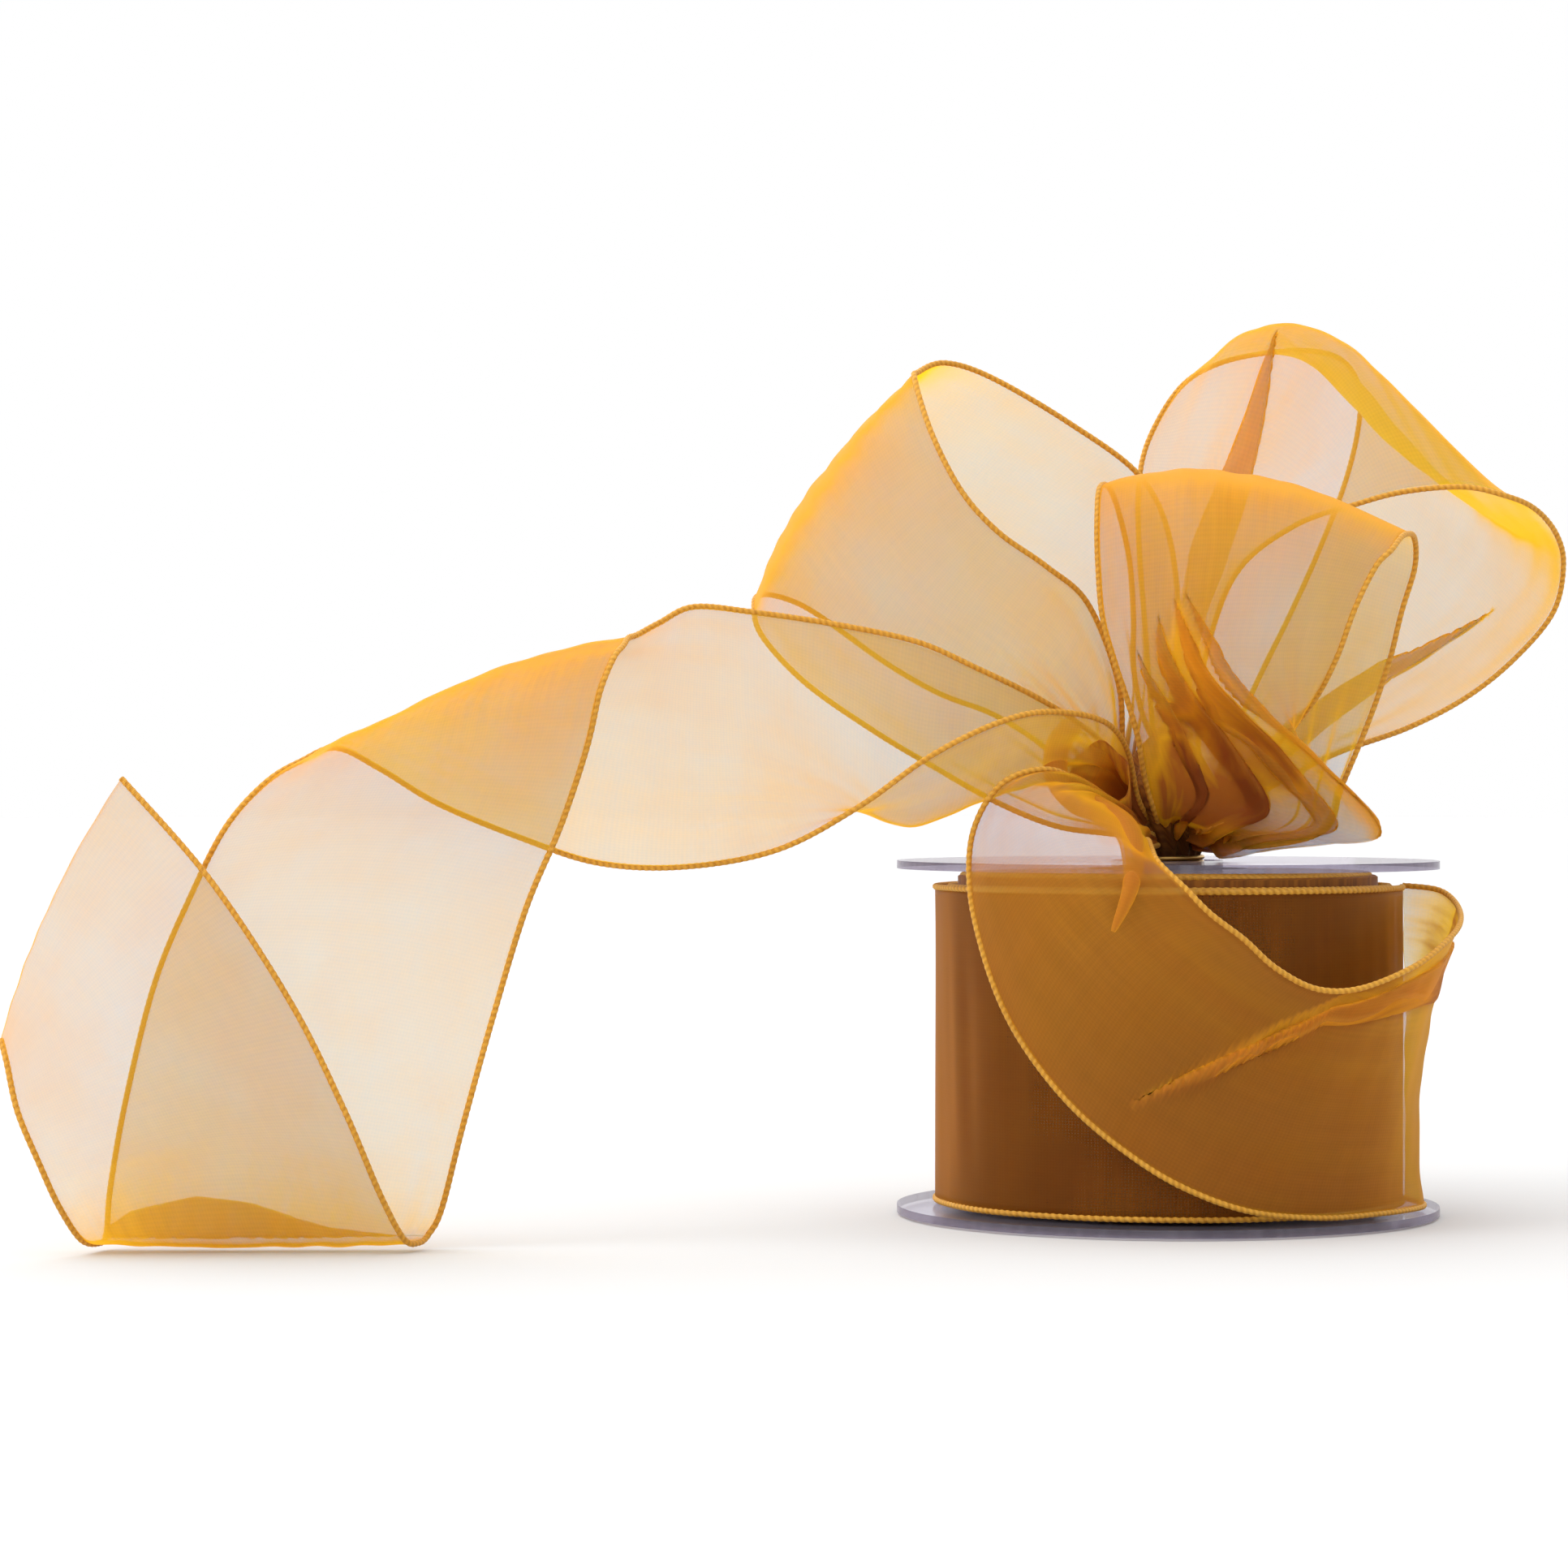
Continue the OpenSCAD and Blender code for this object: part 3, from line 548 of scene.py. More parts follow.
def sheer_material(name, cover, tint, *tones_given):
    """Sheer woven ribbon. Its threads cover part of the view, and more of it at a slant. Light that
    comes through them is brighter than light that they reflect. The four colours are for plain, deeper,
    slanted and gathered cloth, and each is a pair: reflected, passed. The gathered colour is painted
    shade: a dark brown for the shadow between many layers."""
    t = Tree(name)
    vector, across, along, gather = t.cloth()
    warp = t.math("SINE", t.math("MULTIPLY", across, 2 * math.pi / (0.36 * MM)))
    weft = t.math("SINE", t.math("MULTIPLY", along, 2 * math.pi / (0.42 * MM)))
    weave = t.math("MULTIPLY", t.math("ADD", warp, weft), 0.5)
    cloud = t.noise(vector, 70, 3)
    streak = t.noise(vector, 1, 2, (900, 90, 1))
    slub = t.noise(vector, 1, 2, (90, 1100, 1))
    thread = t.math("ADD", streak, slub)
    amount = t.math("ADD", t.math("MULTIPLY", weave, 0.03), t.ramp(cloud, 0.3, 0.7, -0.05, 0.05))
    amount = t.math("ADD", amount, t.ramp(thread, 0.7, 1.3, -0.02, 0.02))
    open_share = t.math("SUBTRACT", 1 - cover, amount)
    facing = t.add("ShaderNodeLayerWeight", {0: 0.5}).outputs["Facing"]
    slant = t.math("MAXIMUM", t.math("SUBTRACT", 1.0, facing), 0.12)
    extra = t.math("SUBTRACT", t.math("DIVIDE", 1.0, slant), 1.0)
    crumple = t.add("ShaderNodeAttribute", attribute_name="crumple").outputs["Fac"]
    creased = t.ramp(t.noise(vector, 1, 3, (800, 90, 1)), 0.3, 0.7, 0.6, 1.4)
    crumple = t.math("MULTIPLY", crumple, creased)
    steep = t.math("MULTIPLY", t.math("MULTIPLY", extra, extra), 0.35)
    steep = t.math("ADD", t.math("MULTIPLY", extra, 0.5), steep)
    more = t.math("ADD", steep, crumple)
    cleared = t.math("POWER", open_share, t.math("ADD", 1.0, more))
    cleared = t.math("MULTIPLY", cleared, t.ramp(gather, 0.0, 1.0, 1.0, 0.12))
    solid = t.math("SUBTRACT", 1.0, cleared, clamp=True)
    front = t.math("SUBTRACT", 1.0, t.add("ShaderNodeNewGeometry").outputs["Backfacing"])
    solid = t.math("MULTIPLY", solid, front)
    tones = []
    for plain, deeper, slanted, gathered in zip(*tones_given):
        tone = t.mix(t.ramp(cloud, 0.35, 0.65), plain, deeper)
        tone = t.mix(t.ramp(more, 0.2, 2.5), tone, slanted)
        # Painted shade: gathered cloth and heavy crumples turn a dark brown that stands in for the shadow
        # between their layers.
        gathered_shade = t.math("MAXIMUM", t.ramp(gather, 0.05, 0.9), t.ramp(crumple, 1.8, 4.5))
        tones.append(t.mix(gathered_shade, tone, gathered))
    bump_height = t.math("ADD", t.math("MULTIPLY", weave, 0.4), thread)
    bump = t.add("ShaderNodeBump", {"Strength": 0.1, "Distance": 0.04 * MM, "Height": bump_height}).outputs[0]
    body = t.add("ShaderNodeBsdfPrincipled", {
        "Base Color": tones[0], "Roughness": 0.5, "Specular IOR Level": 0.15, "Normal": bump,
        "Sheen Weight": 0.15, "Sheen Roughness": 0.4, "Sheen Tint": (1.0, 0.7, 0.25, 1),
    }).outputs[0]
    through = t.add("ShaderNodeBsdfTranslucent", {"Color": tones[1], "Normal": bump}).outputs[0]
    cloth = t.add("ShaderNodeMixShader", {0: 0.55, 1: body, 2: through}).outputs[0]
    passed = t.mix(front, (1.0, 1.0, 1.0), tint)
    clear = t.add("ShaderNodeBsdfTransparent", {"Color": passed}).outputs[0]
    return t.done(t.add("ShaderNodeMixShader", {0: solid, 1: clear, 2: cloth}).outputs[0])


def wire_material():
    """Golden-brown thread overlocked round a fine wire."""
    t = Tree("overlocked_wire")
    vector, _, along, crest = t.cloth()
    twist = t.math("SINE", t.math("MULTIPLY", along, 2 * math.pi / (0.23 * MM)))
    fleck = t.noise(vector, 1, 2, (2500, 900, 1))
    long_tone = t.noise(vector, 60, 1, (0, 1, 0))
    # Painted light and shade: each bead's crest is lighter and the grooves between beads darker.
    tone = t.mix(t.ramp(crest, 0.1, 0.9), (0.58, 0.25, 0.014), (0.84, 0.43, 0.040))
    tone = t.mix(t.ramp(fleck, 0.35, 0.75, 0.0, 0.5), tone, (0.92, 0.55, 0.10))
    tone = t.mix(t.ramp(long_tone, 0.35, 0.65, 0.0, 0.3), tone, (0.52, 0.22, 0.015))
    bump = t.add("ShaderNodeBump", {"Strength": 0.3, "Distance": 0.05 * MM, "Height": twist}).outputs[0]
    body = t.add("ShaderNodeBsdfPrincipled", {
        "Base Color": tone, "Roughness": 0.55, "Specular IOR Level": 0.3, "Normal": bump,
        "Sheen Weight": 0.3, "Sheen Roughness": 0.4, "Sheen Tint": (1.0, 0.8, 0.4, 1),
    }).outputs[0]
    through = t.add("ShaderNodeBsdfTranslucent", {"Color": tone}).outputs[0]
    return t.done(t.add("ShaderNodeMixShader", {0: 0.25, 1: body, 2: through}).outputs[0])


def pack_material(name, light, dark, deep):
    """Many turns of sheer ribbon on each other: dark amber with fine upright threads."""
    t = Tree(name)
    vector, _, _, shade = t.cloth()
    thread = t.noise(vector, 1, 3, (40, 1200, 1))
    weft = t.noise(vector, 1, 2, (600, 200, 1))
    blotch = t.noise(vector, 1, 2, (45, 120, 1))
    tone = t.mix(t.ramp(thread, 0.38, 0.62), dark, light)
    tone = t.mix(t.ramp(weft, 0.4, 0.75, 0.0, 0.25), tone, deep)
    tone = t.mix(t.ramp(blotch, 0.42, 0.62, 0.0, 0.6), tone, dark)
    tone = t.mix(shade, tone, (0.035, 0.010, 0.003))
    grain = t.math("ADD", thread, weft)
    bump = t.add("ShaderNodeBump", {"Strength": 0.4, "Distance": 0.08 * MM, "Height": grain}).outputs[0]
    return t.done(t.add("ShaderNodeBsdfPrincipled", {
        "Base Color": tone, "Roughness": 0.6, "Specular IOR Level": 0.12, "Normal": bump,
        "Sheen Weight": 0.1, "Sheen Roughness": 0.45, "Sheen Tint": (1.0, 0.5, 0.1, 1),
    }).outputs[0])


def clear_material():
    """Clear moulded plastic: see-through faces, a bright line of gloss, and a darker rim: partly the
    tint of looking through its length, partly a painted dark reflection.
    """
    t = Tree("clear_plastic")
    coords = t.add("ShaderNodeTexCoord").outputs["Object"]
    normal = t.add("ShaderNodeNewGeometry").outputs["True Normal"]
    upright = t.add("ShaderNodeSeparateXYZ", {0: normal}).outputs[2]
    # The sideways rim is darker and more opaque: partly the plastic's tint over its length, partly a painted
    # dark reflection of the surroundings.
    rim = t.ramp(t.math("ABSOLUTE", upright), 0.3, 0.8, 1.0, 0.0)
    scuff = t.noise(coords, 900, 3, (1, 1, 0.2))
    cloud = t.noise(coords, 60, 2)
    face_tint = t.mix(t.ramp(cloud, 0.35, 0.65), (0.93, 0.92, 0.96), (0.88, 0.87, 0.93))
    tint = t.mix(rim, face_tint, (0.50, 0.46, 0.55))
    clear = t.add("ShaderNodeBsdfTransparent", {"Color": tint}).outputs[0]
    bump = t.add("ShaderNodeBump", {"Strength": 0.1, "Distance": 0.02 * MM, "Height": scuff}).outputs[0]
    body_tone = t.mix(t.ramp(scuff, 0.4, 0.7), (0.25, 0.22, 0.28), (0.36, 0.33, 0.40))
    body = t.add("ShaderNodeBsdfPrincipled", {
        "Base Color": body_tone, "Roughness": 0.12, "Specular IOR Level": 0.5, "Normal": bump,
    }).outputs[0]
    weight = t.add("ShaderNodeFresnel", {"IOR": 1.45, "Normal": bump}).outputs[0]
    share = t.math("ADD", t.math("MULTIPLY", weight, 0.5), t.math("MULTIPLY", rim, 0.3), clamp=True)
    return t.done(t.add("ShaderNodeMixShader", {0: share, 1: clear, 2: body}).outputs[0])


def card_material():
    """Grey-brown kraft card with flecks and wound seams."""
    t = Tree("kraft_card")
    coords = t.add("ShaderNodeTexCoord").outputs["Object"]
    fibre = t.noise(coords, 700, 4, (1, 1, 0.15))
    fleck = t.noise(coords, 2400, 1)
    tone = t.mix(t.ramp(fibre, 0.3, 0.7), (0.30, 0.20, 0.12), (0.46, 0.34, 0.21))
    tone = t.mix(t.ramp(fleck, 0.62, 0.7), tone, (0.16, 0.10, 0.06))
    bump = t.add("ShaderNodeBump", {"Strength": 0.4, "Distance": 0.1 * MM, "Height": fibre}).outputs[0]
    return t.done(t.add("ShaderNodeBsdfPrincipled", {
        "Base Color": tone, "Roughness": 0.85, "Specular IOR Level": 0.2, "Normal": bump,
    }).outputs[0])


def tape_material():
    """Clear adhesive tape with a cloudy, slightly yellow glue layer."""
    t = Tree("clear_tape")
    coords = t.add("ShaderNodeTexCoord").outputs["Object"]
    cloud = t.noise(coords, 300, 3)
    tone = t.mix(cloud, (0.75, 0.70, 0.50), (0.90, 0.88, 0.75))
    return t.done(t.add("ShaderNodeBsdfPrincipled", {
        "Base Color": tone, "Roughness": 0.25, "Alpha": t.ramp(cloud, 0.3, 0.7, 0.35, 0.6),
    }).outputs[0])


def tie_material():
    """Fine brass-coloured wire, a little tarnished."""
    t = Tree("tie_wire")
    vector = t.cloth()[0]
    tarnish = t.noise(vector, 1200, 2)
    tone = t.mix(t.ramp(tarnish, 0.4, 0.7), (0.62, 0.40, 0.12), (0.26, 0.14, 0.05))
    return t.done(t.add("ShaderNodeBsdfPrincipled", {
        "Base Color": tone, "Metallic": 0.9, "Roughness": t.ramp(tarnish, 0.3, 0.7, 0.25, 0.5),
    }).outputs[0])


def floor_material():
    t = Tree("pale_floor")
    coords = t.add("ShaderNodeTexCoord").outputs["Object"]
    cloud = t.noise(coords, 3, 3)
    tone = t.mix(cloud, (0.60, 0.60, 0.60), (0.62, 0.62, 0.62))
    return t.done(t.add("ShaderNodeBsdfPrincipled", {
        "Base Color": tone, "Roughness": 0.9, "Specular IOR Level": 0.0,
    }).outputs[0])


# Colour pairs for plain, deeper, slanted and gathered cloth; the gathered pair is painted shade.
WEB = sheer_material(
    "sheer_web", 0.46, (0.54, 0.80, 1.0),
    ((0.90, 0.30, 0.050), (1.00, 0.63, 0.024)),
    ((0.80, 0.25, 0.034), (1.00, 0.60, 0.016)),
    ((0.86, 0.36, 0.018), (0.98, 0.61, 0.014)),
    ((0.36, 0.105, 0.022), (0.54, 0.19, 0.022)),
)
# The outermost turn: the ribbon's colours darkened as painted shade for the dark pack behind it; its last
# pair is the painted shade of gathered cloth.
TURN = sheer_material(
    "outer_turn", 0.60, (0.8, 0.9, 1.0),
    ((0.34, 0.120, 0.010), (0.50, 0.20, 0.020)),
    ((0.25, 0.085, 0.008), (0.50, 0.18, 0.012)),
    ((0.45, 0.17, 0.010), (0.90, 0.42, 0.020)),
    ((0.20, 0.065, 0.008), (0.34, 0.12, 0.010)),
)
WIRE = wire_material()
PACK = pack_material("wound_pack", (0.30, 0.105, 0.010), (0.15, 0.048, 0.006), (0.36, 0.13, 0.012))
GATHER = pack_material("gathered_ribbon", (0.30, 0.11, 0.015), (0.12, 0.035, 0.006), (0.38, 0.15, 0.02))
TIE = tie_material()


def stand_for(piece, body, node):
    """Says which body a piece rides on, which CAD node it stands for."""
    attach(piece, body)
    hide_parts(node)


# ---------------------------------------------------------------- the free ribbon
def finish_strip(prefix, stations, names, flat_length, **options):
    """Builds a stretch and its two wires, and says which CAD nodes they stand for."""
    node, wire_a, wire_b = names
    web, edge_a, edge_b = strip(prefix + "_web", stations, WEB, **options)
    first = tube_object(prefix + "_first_wire", edge_a, WIRE, **FREE_WIRE)
    second = tube_object(prefix + "_second_wire", edge_b, WIRE, **FREE_WIRE)
    stand_for(web, "free_ribbon", node)
    stand_for(first, "free_ribbon", wire_a)
    stand_for(second, "free_ribbon", wire_b)


# Crumples, darts, tucks, creases and doubled folds are placed by station number and place across.
# Large crumple and doubled-fold amounts also bring in painted shade through the material.
finish_strip("left_loop", LEFT_LOOP, ("left_loop", "left_loop_upper_wire", "left_loop_lower_wire"),
             0.155, pleats=6, seed=3,
             crumples=[(8.5, 0.5, 2.0, 0.6, 0.35), (14.5, 0.5, 1.6, 0.6, 0.5)])
finish_strip("front_loop", FRONT_LOOP, ("front_loop", "front_loop_left_wire", "front_loop_right_wire"),
             0.125, pleats=7, seed=5, reach=34, creases=[(2.0, 4.5, 1.0)],
             darts=[[(5.4, 0.30, 0), (4.2, 0.46, 0.9), (2.9, 0.52, 1.1), (1.7, 0.52, 1.1), (1.0, 0.50, 0.6)],
                    [(5.3, 0.27, 0), (4.2, 0.36, 1.0), (3.0, 0.37, 1.5), (1.5, 0.34, 1.7), (-0.5, 0.40, 1.0)],
                    [(5.0, 0.22, 0), (4.0, 0.24, 1.0), (2.6, 0.22, 1.5), (1.0, 0.22, 1.4), (-0.5, 0.25, 0.8)],
                    [(4.4, 0.12, 0), (3.0, 0.12, 0.9), (1.6, 0.11, 0.9), (-0.5, 0.12, 0.5)]],
             crumples=[(8.0, 0.5, 1.3, 0.8, 0.8), (0.6, 0.12, 1.5, 0.14, 2.4), (6.0, 0.30, 2.0, 0.35, 0.3)],
             doubled=[((0.9, 1.25, 1.75, 2.4, 3.67, 5.25), (0.44, 0.41, 0.40, 0.42, 0.46, 0.30),
                       (0.56, 0.60, 0.60, 0.56, 0.52, 0.34), 1.7),
                      ((0.0, 1.0, 2.0, 3.0, 4.2, 5.3), (0.0, 0.0, 0.04, 0.14, 0.25, 0.28),
                       (0.20, 0.26, 0.36, 0.46, 0.43, 0.29), 2.8)])
finish_strip("right_loop", RIGHT_LOOP, ("right_loop", "right_loop_upper_wire", "right_loop_lower_wire"),
             0.175, pleats=6, seed=8,
             darts=[[(6.4, 0.36, 0), (5.2, 0.45, 1.4), (4.0, 0.54, 2.6), (2.75, 0.62, 4.0), (1.5, 0.62, 2.5)],
                    [(12.5, 0.80, 0), (14.5, 0.63, 1.6), (16.1, 0.58, 2.4), (17.5, 0.55, 1.5)]],
             crumples=[(8.0, 0.22, 1.6, 0.22, 1.7), (10.6, 0.30, 1.6, 0.3, 0.4), (4.5, 0.5, 1.6, 0.25, 0.4)])
finish_strip("tail", TAIL, ("tail", "tail_upper_wire", "tail_lower_wire"),
             0.232, gathered=(True, False), pleats=5, seed=11,
             tucks=[(21.15, (0, 0.07, 0.31, 0.56, 0.73, 0.93, 1), (0.1, 0.1, 0.7, 2.0, 2.3, 1.4, 0.6))],
             crumples=[(12.4, 0.4, 2.0, 0.7, 1.4), (20.6, 0.5, 0.8, 0.8, 1.0), (23.0, 0.9, 1.2, 0.2, 0.8),
                       (6.5, 0.8, 1.2, 0.3, 0.4)])
finish_strip("lead", LEAD, ("lead_ribbon", "lead_upper_wire", "lead_lower_wire"),
             0.120, gathered=(False, True), pleats=5, seed=14,
             darts=[[(8.4, 0.08, 0), (7.5, 0.33, 1.5), (6.3, 0.74, 2.2), (5.0, 0.80, 3.0), (3.6, 0.80, 3.4),
                     (2.6, 0.84, 2.6)]],
             crumples=[(1.6, 0.88, 1.3, 0.16, 2.8), (3.6, 0.5, 0.5, 0.5, 0.7), (10.5, 0.5, 1.5, 0.3, 0.3)],
             doubled=[((2.2, 3.8, 5.0, 6.3, 7.5, 8.3), (0.84, 0.68, 0.72, 0.64, 0.25, 0.08),
                       (1.1, 1.1, 1.1, 0.96, 0.43, 0.12), 2.4)])


# ---------------------------------------------------------------- folds at the knot
def folded_piece(name, grid, across, along, crumple):
    """A small fold of the ribbon by the knot, as a sheet of its own."""
    cloth = np.stack([
        np.broadcast_to(across * MM, grid.shape[:2]),
        np.broadcast_to(along, grid.shape[:2]),
        # A gathering of 0.25 also tints the fold a little with the painted shade of gathered cloth.
        np.full(grid.shape[:2], 0.25),
        np.full(grid.shape[:2], crumple),
    ], -1)
    piece = sheet_object(name, grid, cloth, SHEET_T, WEB)
    stand_for(piece, "free_ribbon", "gather")
    return piece


def rolled_edge(name, path, radius, crumple):
    """A rolled-up edge of the ribbon, along a path of points in millimetres."""
    points = smooth_rows(np.array(path) * MM, ROW_STEPS)
    points, s = resample(points, 0.35 * MM)
    along = unit(np.gradient(points, axis=0))
    side = unit(np.cross(along, [0.2, -1.0, 0.3]))
    front = np.cross(side, along)
    turn = np.linspace(0, 7.0, 30)
    taper = 0.1 + 0.9 * np.sin(math.pi * np.clip(s / s[-1] * 0.8 + 0.2, 0, 1)) ** 0.7
    r = (radius - 0.09 * turn)[None, :] * taper[:, None] * MM
    angle = turn[None, :] + 0.6 * np.sin(6 * s / s[-1])[:, None]
    grid = points[:, None] + r[..., None] * (
        np.cos(angle)[..., None] * side[:, None] + np.sin(angle)[..., None] * front[:, None] * 0.7
    )
    piece = folded_piece(name, grid, (turn * 1.45)[None, :], s[:, None], crumple)


def knot_pocket():
    """The cupped fold above the curl, open towards the front."""
    depth = np.linspace(0, 1, 22)
    turn = np.linspace(0.05, 2 * math.pi - 0.05, 72)
    x = -9.7 + 3.0 * depth[:, None] + (3.6 - 1.8 * depth[:, None]) * np.cos(turn)[None, :]
    y = -17.5 + 11.5 * depth[:, None] + 0.8 * np.sin(3 * turn)[None, :] * (1 - depth[:, None])
    z = 54.6 - 3.4 * depth[:, None] + (4.2 - 2.2 * depth[:, None]) * np.sin(turn)[None, :]
    z = z + 0.35 * np.sin(5 * turn)[None, :]
    grid = np.stack([x, np.broadcast_to(y, x.shape), z], -1) * MM
    # A crumple of 4 paints the pocket the dark brown of gathered cloth, as shade inside the hollow.
    piece = folded_piece("knot_pocket", grid, (turn * 3.2)[None, :], (12 * MM * depth)[:, None], 4.0)


# The curl comes down over the flange from between the tail and the lead. In millimetres.
KNOT_CURL = [
    [-13, -16, 60.8], [-15, -18.5, 58], [-15.2, -21, 54.5], [-13, -24, 51.6], [-10, -27, 50.4],
    [-7.4, -31, 48.4], [-6.9, -35, 45.2], [-7.6, -38.2, 41.2], [-9.6, -38.4, 36.5],
]
rolled_edge("knot_curl", KNOT_CURL, radius=1.9, crumple=0.5)
knot_pocket()


# ---------------------------------------------------------------- the outermost turn
def turn_path(z):
    """Points round the pack, from the far side of the lead back to where it leaves."""
    angle = np.radians(np.linspace(TURN_END - TURN_SWEEP, TURN_END, 420))
    r = TURN_R + 0.12 * MM * np.sin(5 * angle + 2) + 0.06 * MM * np.sin(11 * angle + 4)
    return np.stack([r * np.cos(angle), r * np.sin(angle), np.full_like(angle, z)], 1)


def outer_turn():
    """The last turn on the pack, which belongs to the free ribbon, and its two wires."""
    rows = 36
    low, high = 1.7 * MM, 40.9 * MM
    low_wire = 1.75 * MM
    grid = np.stack([turn_path(z) for z in np.linspace(low, high, rows)], 1)
    s = np.linspace(0, 1, rows)
    rng = np.random.default_rng(21)
    length = np.linspace(0, TURN_LENGTH, len(grid))
    swell = ripple(rng, length[:, None], (s * RIBBON_W)[None, :], 12, 0.12 * MM, 5)
    swell = swell * np.sin(math.pi * s)[None, :]
    out = grid * np.array([1, 1, 0])
    grid = grid + unit(out) * swell[..., None]
    cloth = np.stack([
        np.broadcast_to((s * RIBBON_W)[None, :], swell.shape),
        np.broadcast_to(length[:, None], swell.shape),
        np.zeros_like(swell),
    ], -1)
    web = sheet_object("outer_turn_web", grid, cloth, SHEET_T, TURN)
    upper = tube_object("outer_turn_upper", turn_path(high), WIRE, **PACKED_WIRE)
    lower = tube_object("outer_turn_lower", turn_path(low_wire), WIRE, **PACKED_WIRE)
    stand_for(web, "free_ribbon", "outer_turn")
    stand_for(upper, "free_ribbon", "outer_turn_upper_wire")
    stand_for(lower, "free_ribbon", "outer_turn_lower_wire")


outer_turn()


# ---------------------------------------------------------------- the wound pack
def wound_pack():
    """All the turns under the outermost one: the inner ones sit high and the outer ones low."""
    inner_r, outer_r, core_r = 26.3 * MM, PACK_R, 12.6 * MM
    inner_low, inner_high = UPPER_FACE - RIBBON_W, UPPER_FACE - 0.8 * MM
    outer_low, outer_high = LOWER_FACE + 0.6 * MM, LOWER_FACE + RIBBON_W

    def shape(r, z, angle):
        streak = np.zeros_like(angle)
        rng = np.random.default_rng(31)
        for k in [3, 5, 9, 17, 31, 47, 63]:
            streak += rng.uniform(0.3, 1) * np.sin(k * angle + rng.uniform(0, 7)) / math.sqrt(k)
        level = np.clip((z - LOWER_FACE) / RIBBON_W, 0, 1)
        belly = np.sin(math.pi * level)
        side = smoothstep((r - 26.5 * MM) / (1.5 * MM))
        return r + side * belly * (0.09 * MM * streak[None, :] - 0.1 * MM)

    side = [(outer_r, z) for z in np.linspace(outer_low + 0.3 * MM, outer_high - 0.3 * MM, 30)]
    profile = [(core_r, inner_low), (inner_r - 0.3 * MM, inner_low), (inner_r + 0.2 * MM, outer_low)]
    profile += [(outer_r - 0.3 * MM, outer_low)] + side
    profile += [(outer_r - 0.3 * MM, outer_high), (inner_r + 0.15 * MM, outer_high)]
    profile += [(inner_r, outer_high + 0.2 * MM), (inner_r, inner_high - 0.2 * MM)]
    profile += [(inner_r - 0.3 * MM, inner_high), (core_r, inner_high)]
    body = lathe_object("wound_turns", profile, np.zeros(len(profile)), PACK, shape)
    stand_for(body, "reel", "wound_ribbon")


def spiral(inner, outer, z):
    """A flat spiral of wound edge, from the core outwards, between two radii in millimetres."""
    pitch = 0.85
    turns = (outer - inner) / pitch
    angle = np.linspace(0, 2 * math.pi * turns, int(turns * 220))
    r = (inner + pitch * angle / (2 * math.pi)) * MM
    height = z * MM + 0.12 * MM * np.sin(1.7 * angle) * np.sin(0.31 * angle + 1)
    return np.stack([r * np.cos(angle), r * np.sin(angle), height], 1)


def pack_edges():
    """The edge wires that show at the pack's ends, as one spiral on the inner turns and one on the outer."""
    for name, node, inner_z, outer_z in [("pack_upper_edge", "wound_upper_edge", 42.4, 41.0),
                                         ("pack_lower_edge", "wound_lower_edge", 3.7, 1.85)]:
        for end, route in [("", spiral(14.2, 25.9, inner_z)), ("_outer", spiral(26.9, 28.1, outer_z))]:
            piece = tube_object(name + end, route, WIRE, sides=6, pitch=0.3 * MM, **PACKED_WIRE)
            stand_for(piece, "reel", node)


wound_pack()
pack_edges()


# ---------------------------------------------------------------- the gather and its tie
def gather():
    """The bunched ribbon that fills the neck, from inside the bore up into the bow, and its tie."""
    heights = np.linspace(34.4, 61.0, 80)
    keys = [34.4, 44.6, 46.4, 48.5, 51.0, 54.0, 58.0, 61.0]
    radii = [3.6, 3.7, 4.4, 5.2, 6.2, 6.0, 3.6, 0.8]
    profile = [(np.interp(z, keys, radii) * MM, z * MM) for z in heights]
    rng = np.random.default_rng(41)
    phases = rng.uniform(0, 7, 4)

    def shape(r, z, angle):
        twist = (z - 44 * MM) * 60
        ridge = np.abs(np.sin(5.5 * (angle[None, :] + twist) + phases[0]))
        fine = np.sin(17 * (angle[None, :] + twist) + phases[1])
        return r * (1 + 0.16 * (ridge - 0.5) + 0.05 * fine)

    # Painted shade: the bunch darkens towards the bottom, down inside the bore.
    shade = smoothstep((49.5 - heights) / 5) * 0.9
    body = lathe_object("gather_bunch", profile, shade, GATHER, shape)
    stand_for(body, "free_ribbon", "gather")
    tie_turns, tie_r, tie_z = 2.1, 4.45 * MM, 43.4 * MM
    angle = np.linspace(0, 2 * math.pi * tie_turns, 200)
    path = np.stack([tie_r * np.cos(angle), tie_r * np.sin(angle), tie_z + 0.1 * MM * angle], 1)
    tie = tube_object("gather_tie_wire", path, TIE, radius=0.28 * MM, bead=0.0, bead_pitch=1 * MM)
    stand_for(tie, "free_ribbon", "gather_tie")


gather()


# ---------------------------------------------------------------- CAD pieces that stay
def repaint(node, material):
    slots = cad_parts[node].data.materials
    if len(slots):
        for i in range(len(slots)):
            slots[i] = material
    else:
        slots.append(material)


CLEAR = clear_material()
repaint("lower_flange", CLEAR)
repaint("upper_flange", CLEAR)
repaint("core_tube", card_material())
repaint("start_tape", tape_material())


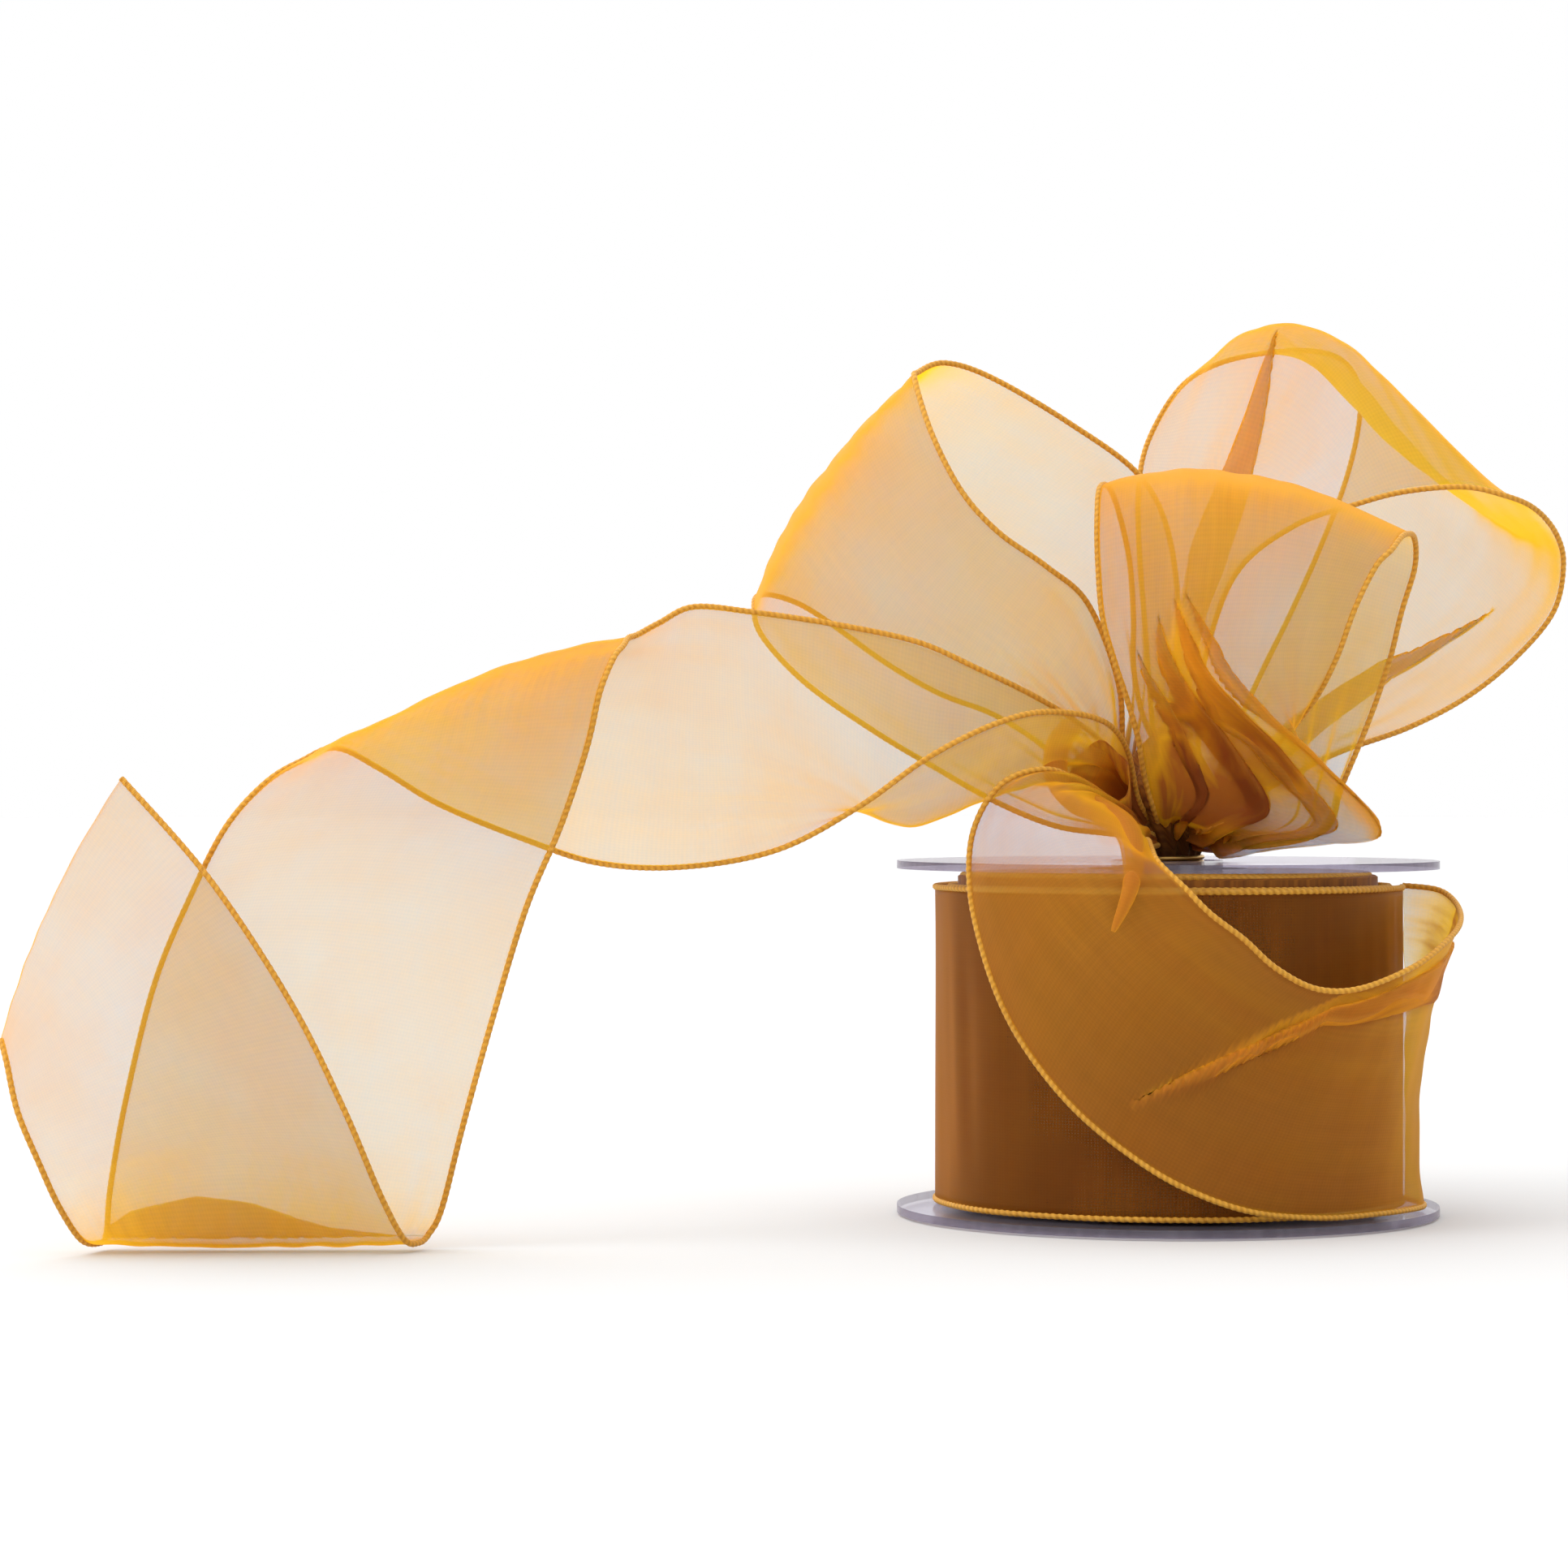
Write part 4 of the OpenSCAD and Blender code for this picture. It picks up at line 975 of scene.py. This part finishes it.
# ---------------------------------------------------------------- floor, light and view
FLOOR_R = 6
FLOOR_Z = -0.0003
FLOOR_SIDES = 64
floor_mesh = bpy.data.meshes.new("floor")
turns = np.linspace(0, 2 * math.pi, FLOOR_SIDES, endpoint=False)
circle = [(FLOOR_R * math.cos(turn), FLOOR_R * math.sin(turn), FLOOR_Z) for turn in turns]
floor_mesh.from_pydata(circle, [], [list(range(FLOOR_SIDES))])
floor_mesh.materials.append(floor_material())
floor = bpy.data.objects.new("floor", floor_mesh)
bpy.context.scene.collection.objects.link(floor)


def studio_world():
    """A white room: plain white behind the object, and soft light that is stronger from the upper left."""
    world = bpy.data.worlds.new("studio")
    bpy.context.scene.world = world
    world.use_nodes = True
    nodes, links = world.node_tree.nodes, world.node_tree.links
    nodes.clear()
    direction = nodes.new("ShaderNodeTexCoord").outputs["Generated"]
    dot = nodes.new("ShaderNodeVectorMath")
    dot.operation = "DOT_PRODUCT"
    links.new(direction, dot.inputs[0])
    dot.inputs[1].default_value = (-0.5, 0.5, 0.7)
    level = nodes.new("ShaderNodeMapRange")
    links.new(dot.outputs["Value"], level.inputs[0])
    for socket, value in zip(range(1, 5), (-0.9, 1.0, 0.40, 2.2)):
        level.inputs[socket].default_value = value
    soft = nodes.new("ShaderNodeBackground")
    soft.inputs["Color"].default_value = (1, 1, 1, 1)
    links.new(level.outputs[0], soft.inputs["Strength"])
    plain = nodes.new("ShaderNodeBackground")
    plain.inputs["Color"].default_value = (1, 1, 1, 1)
    plain.inputs["Strength"].default_value = 1.0
    path = nodes.new("ShaderNodeLightPath")
    mix = nodes.new("ShaderNodeMixShader")
    links.new(path.outputs["Is Camera Ray"], mix.inputs[0])
    links.new(soft.outputs[0], mix.inputs[1])
    links.new(plain.outputs[0], mix.inputs[2])
    output = nodes.new("ShaderNodeOutputWorld")
    links.new(mix.outputs[0], output.inputs[0])


studio_world()


def area_light(name, place, target, size, power):
    light = bpy.data.lights.new(name, "AREA")
    light.size = size
    light.energy = power
    obj = bpy.data.objects.new(name, light)
    bpy.context.scene.collection.objects.link(obj)
    obj.location = place
    direction = np.array(place) - np.array(target)
    yaw = math.atan2(direction[0], -direction[1])
    pitch = math.atan2(np.hypot(direction[0], direction[1]), direction[2])
    obj.rotation_euler = (pitch, 0, yaw)


area_light("key_light", (-0.9, -0.5, 1.0), (-0.04, 0, 0.05), 0.6, 3.6)

scene = bpy.context.scene
scene.view_settings.view_transform = "Standard"
scene.cycles.transparent_max_bounces = 40
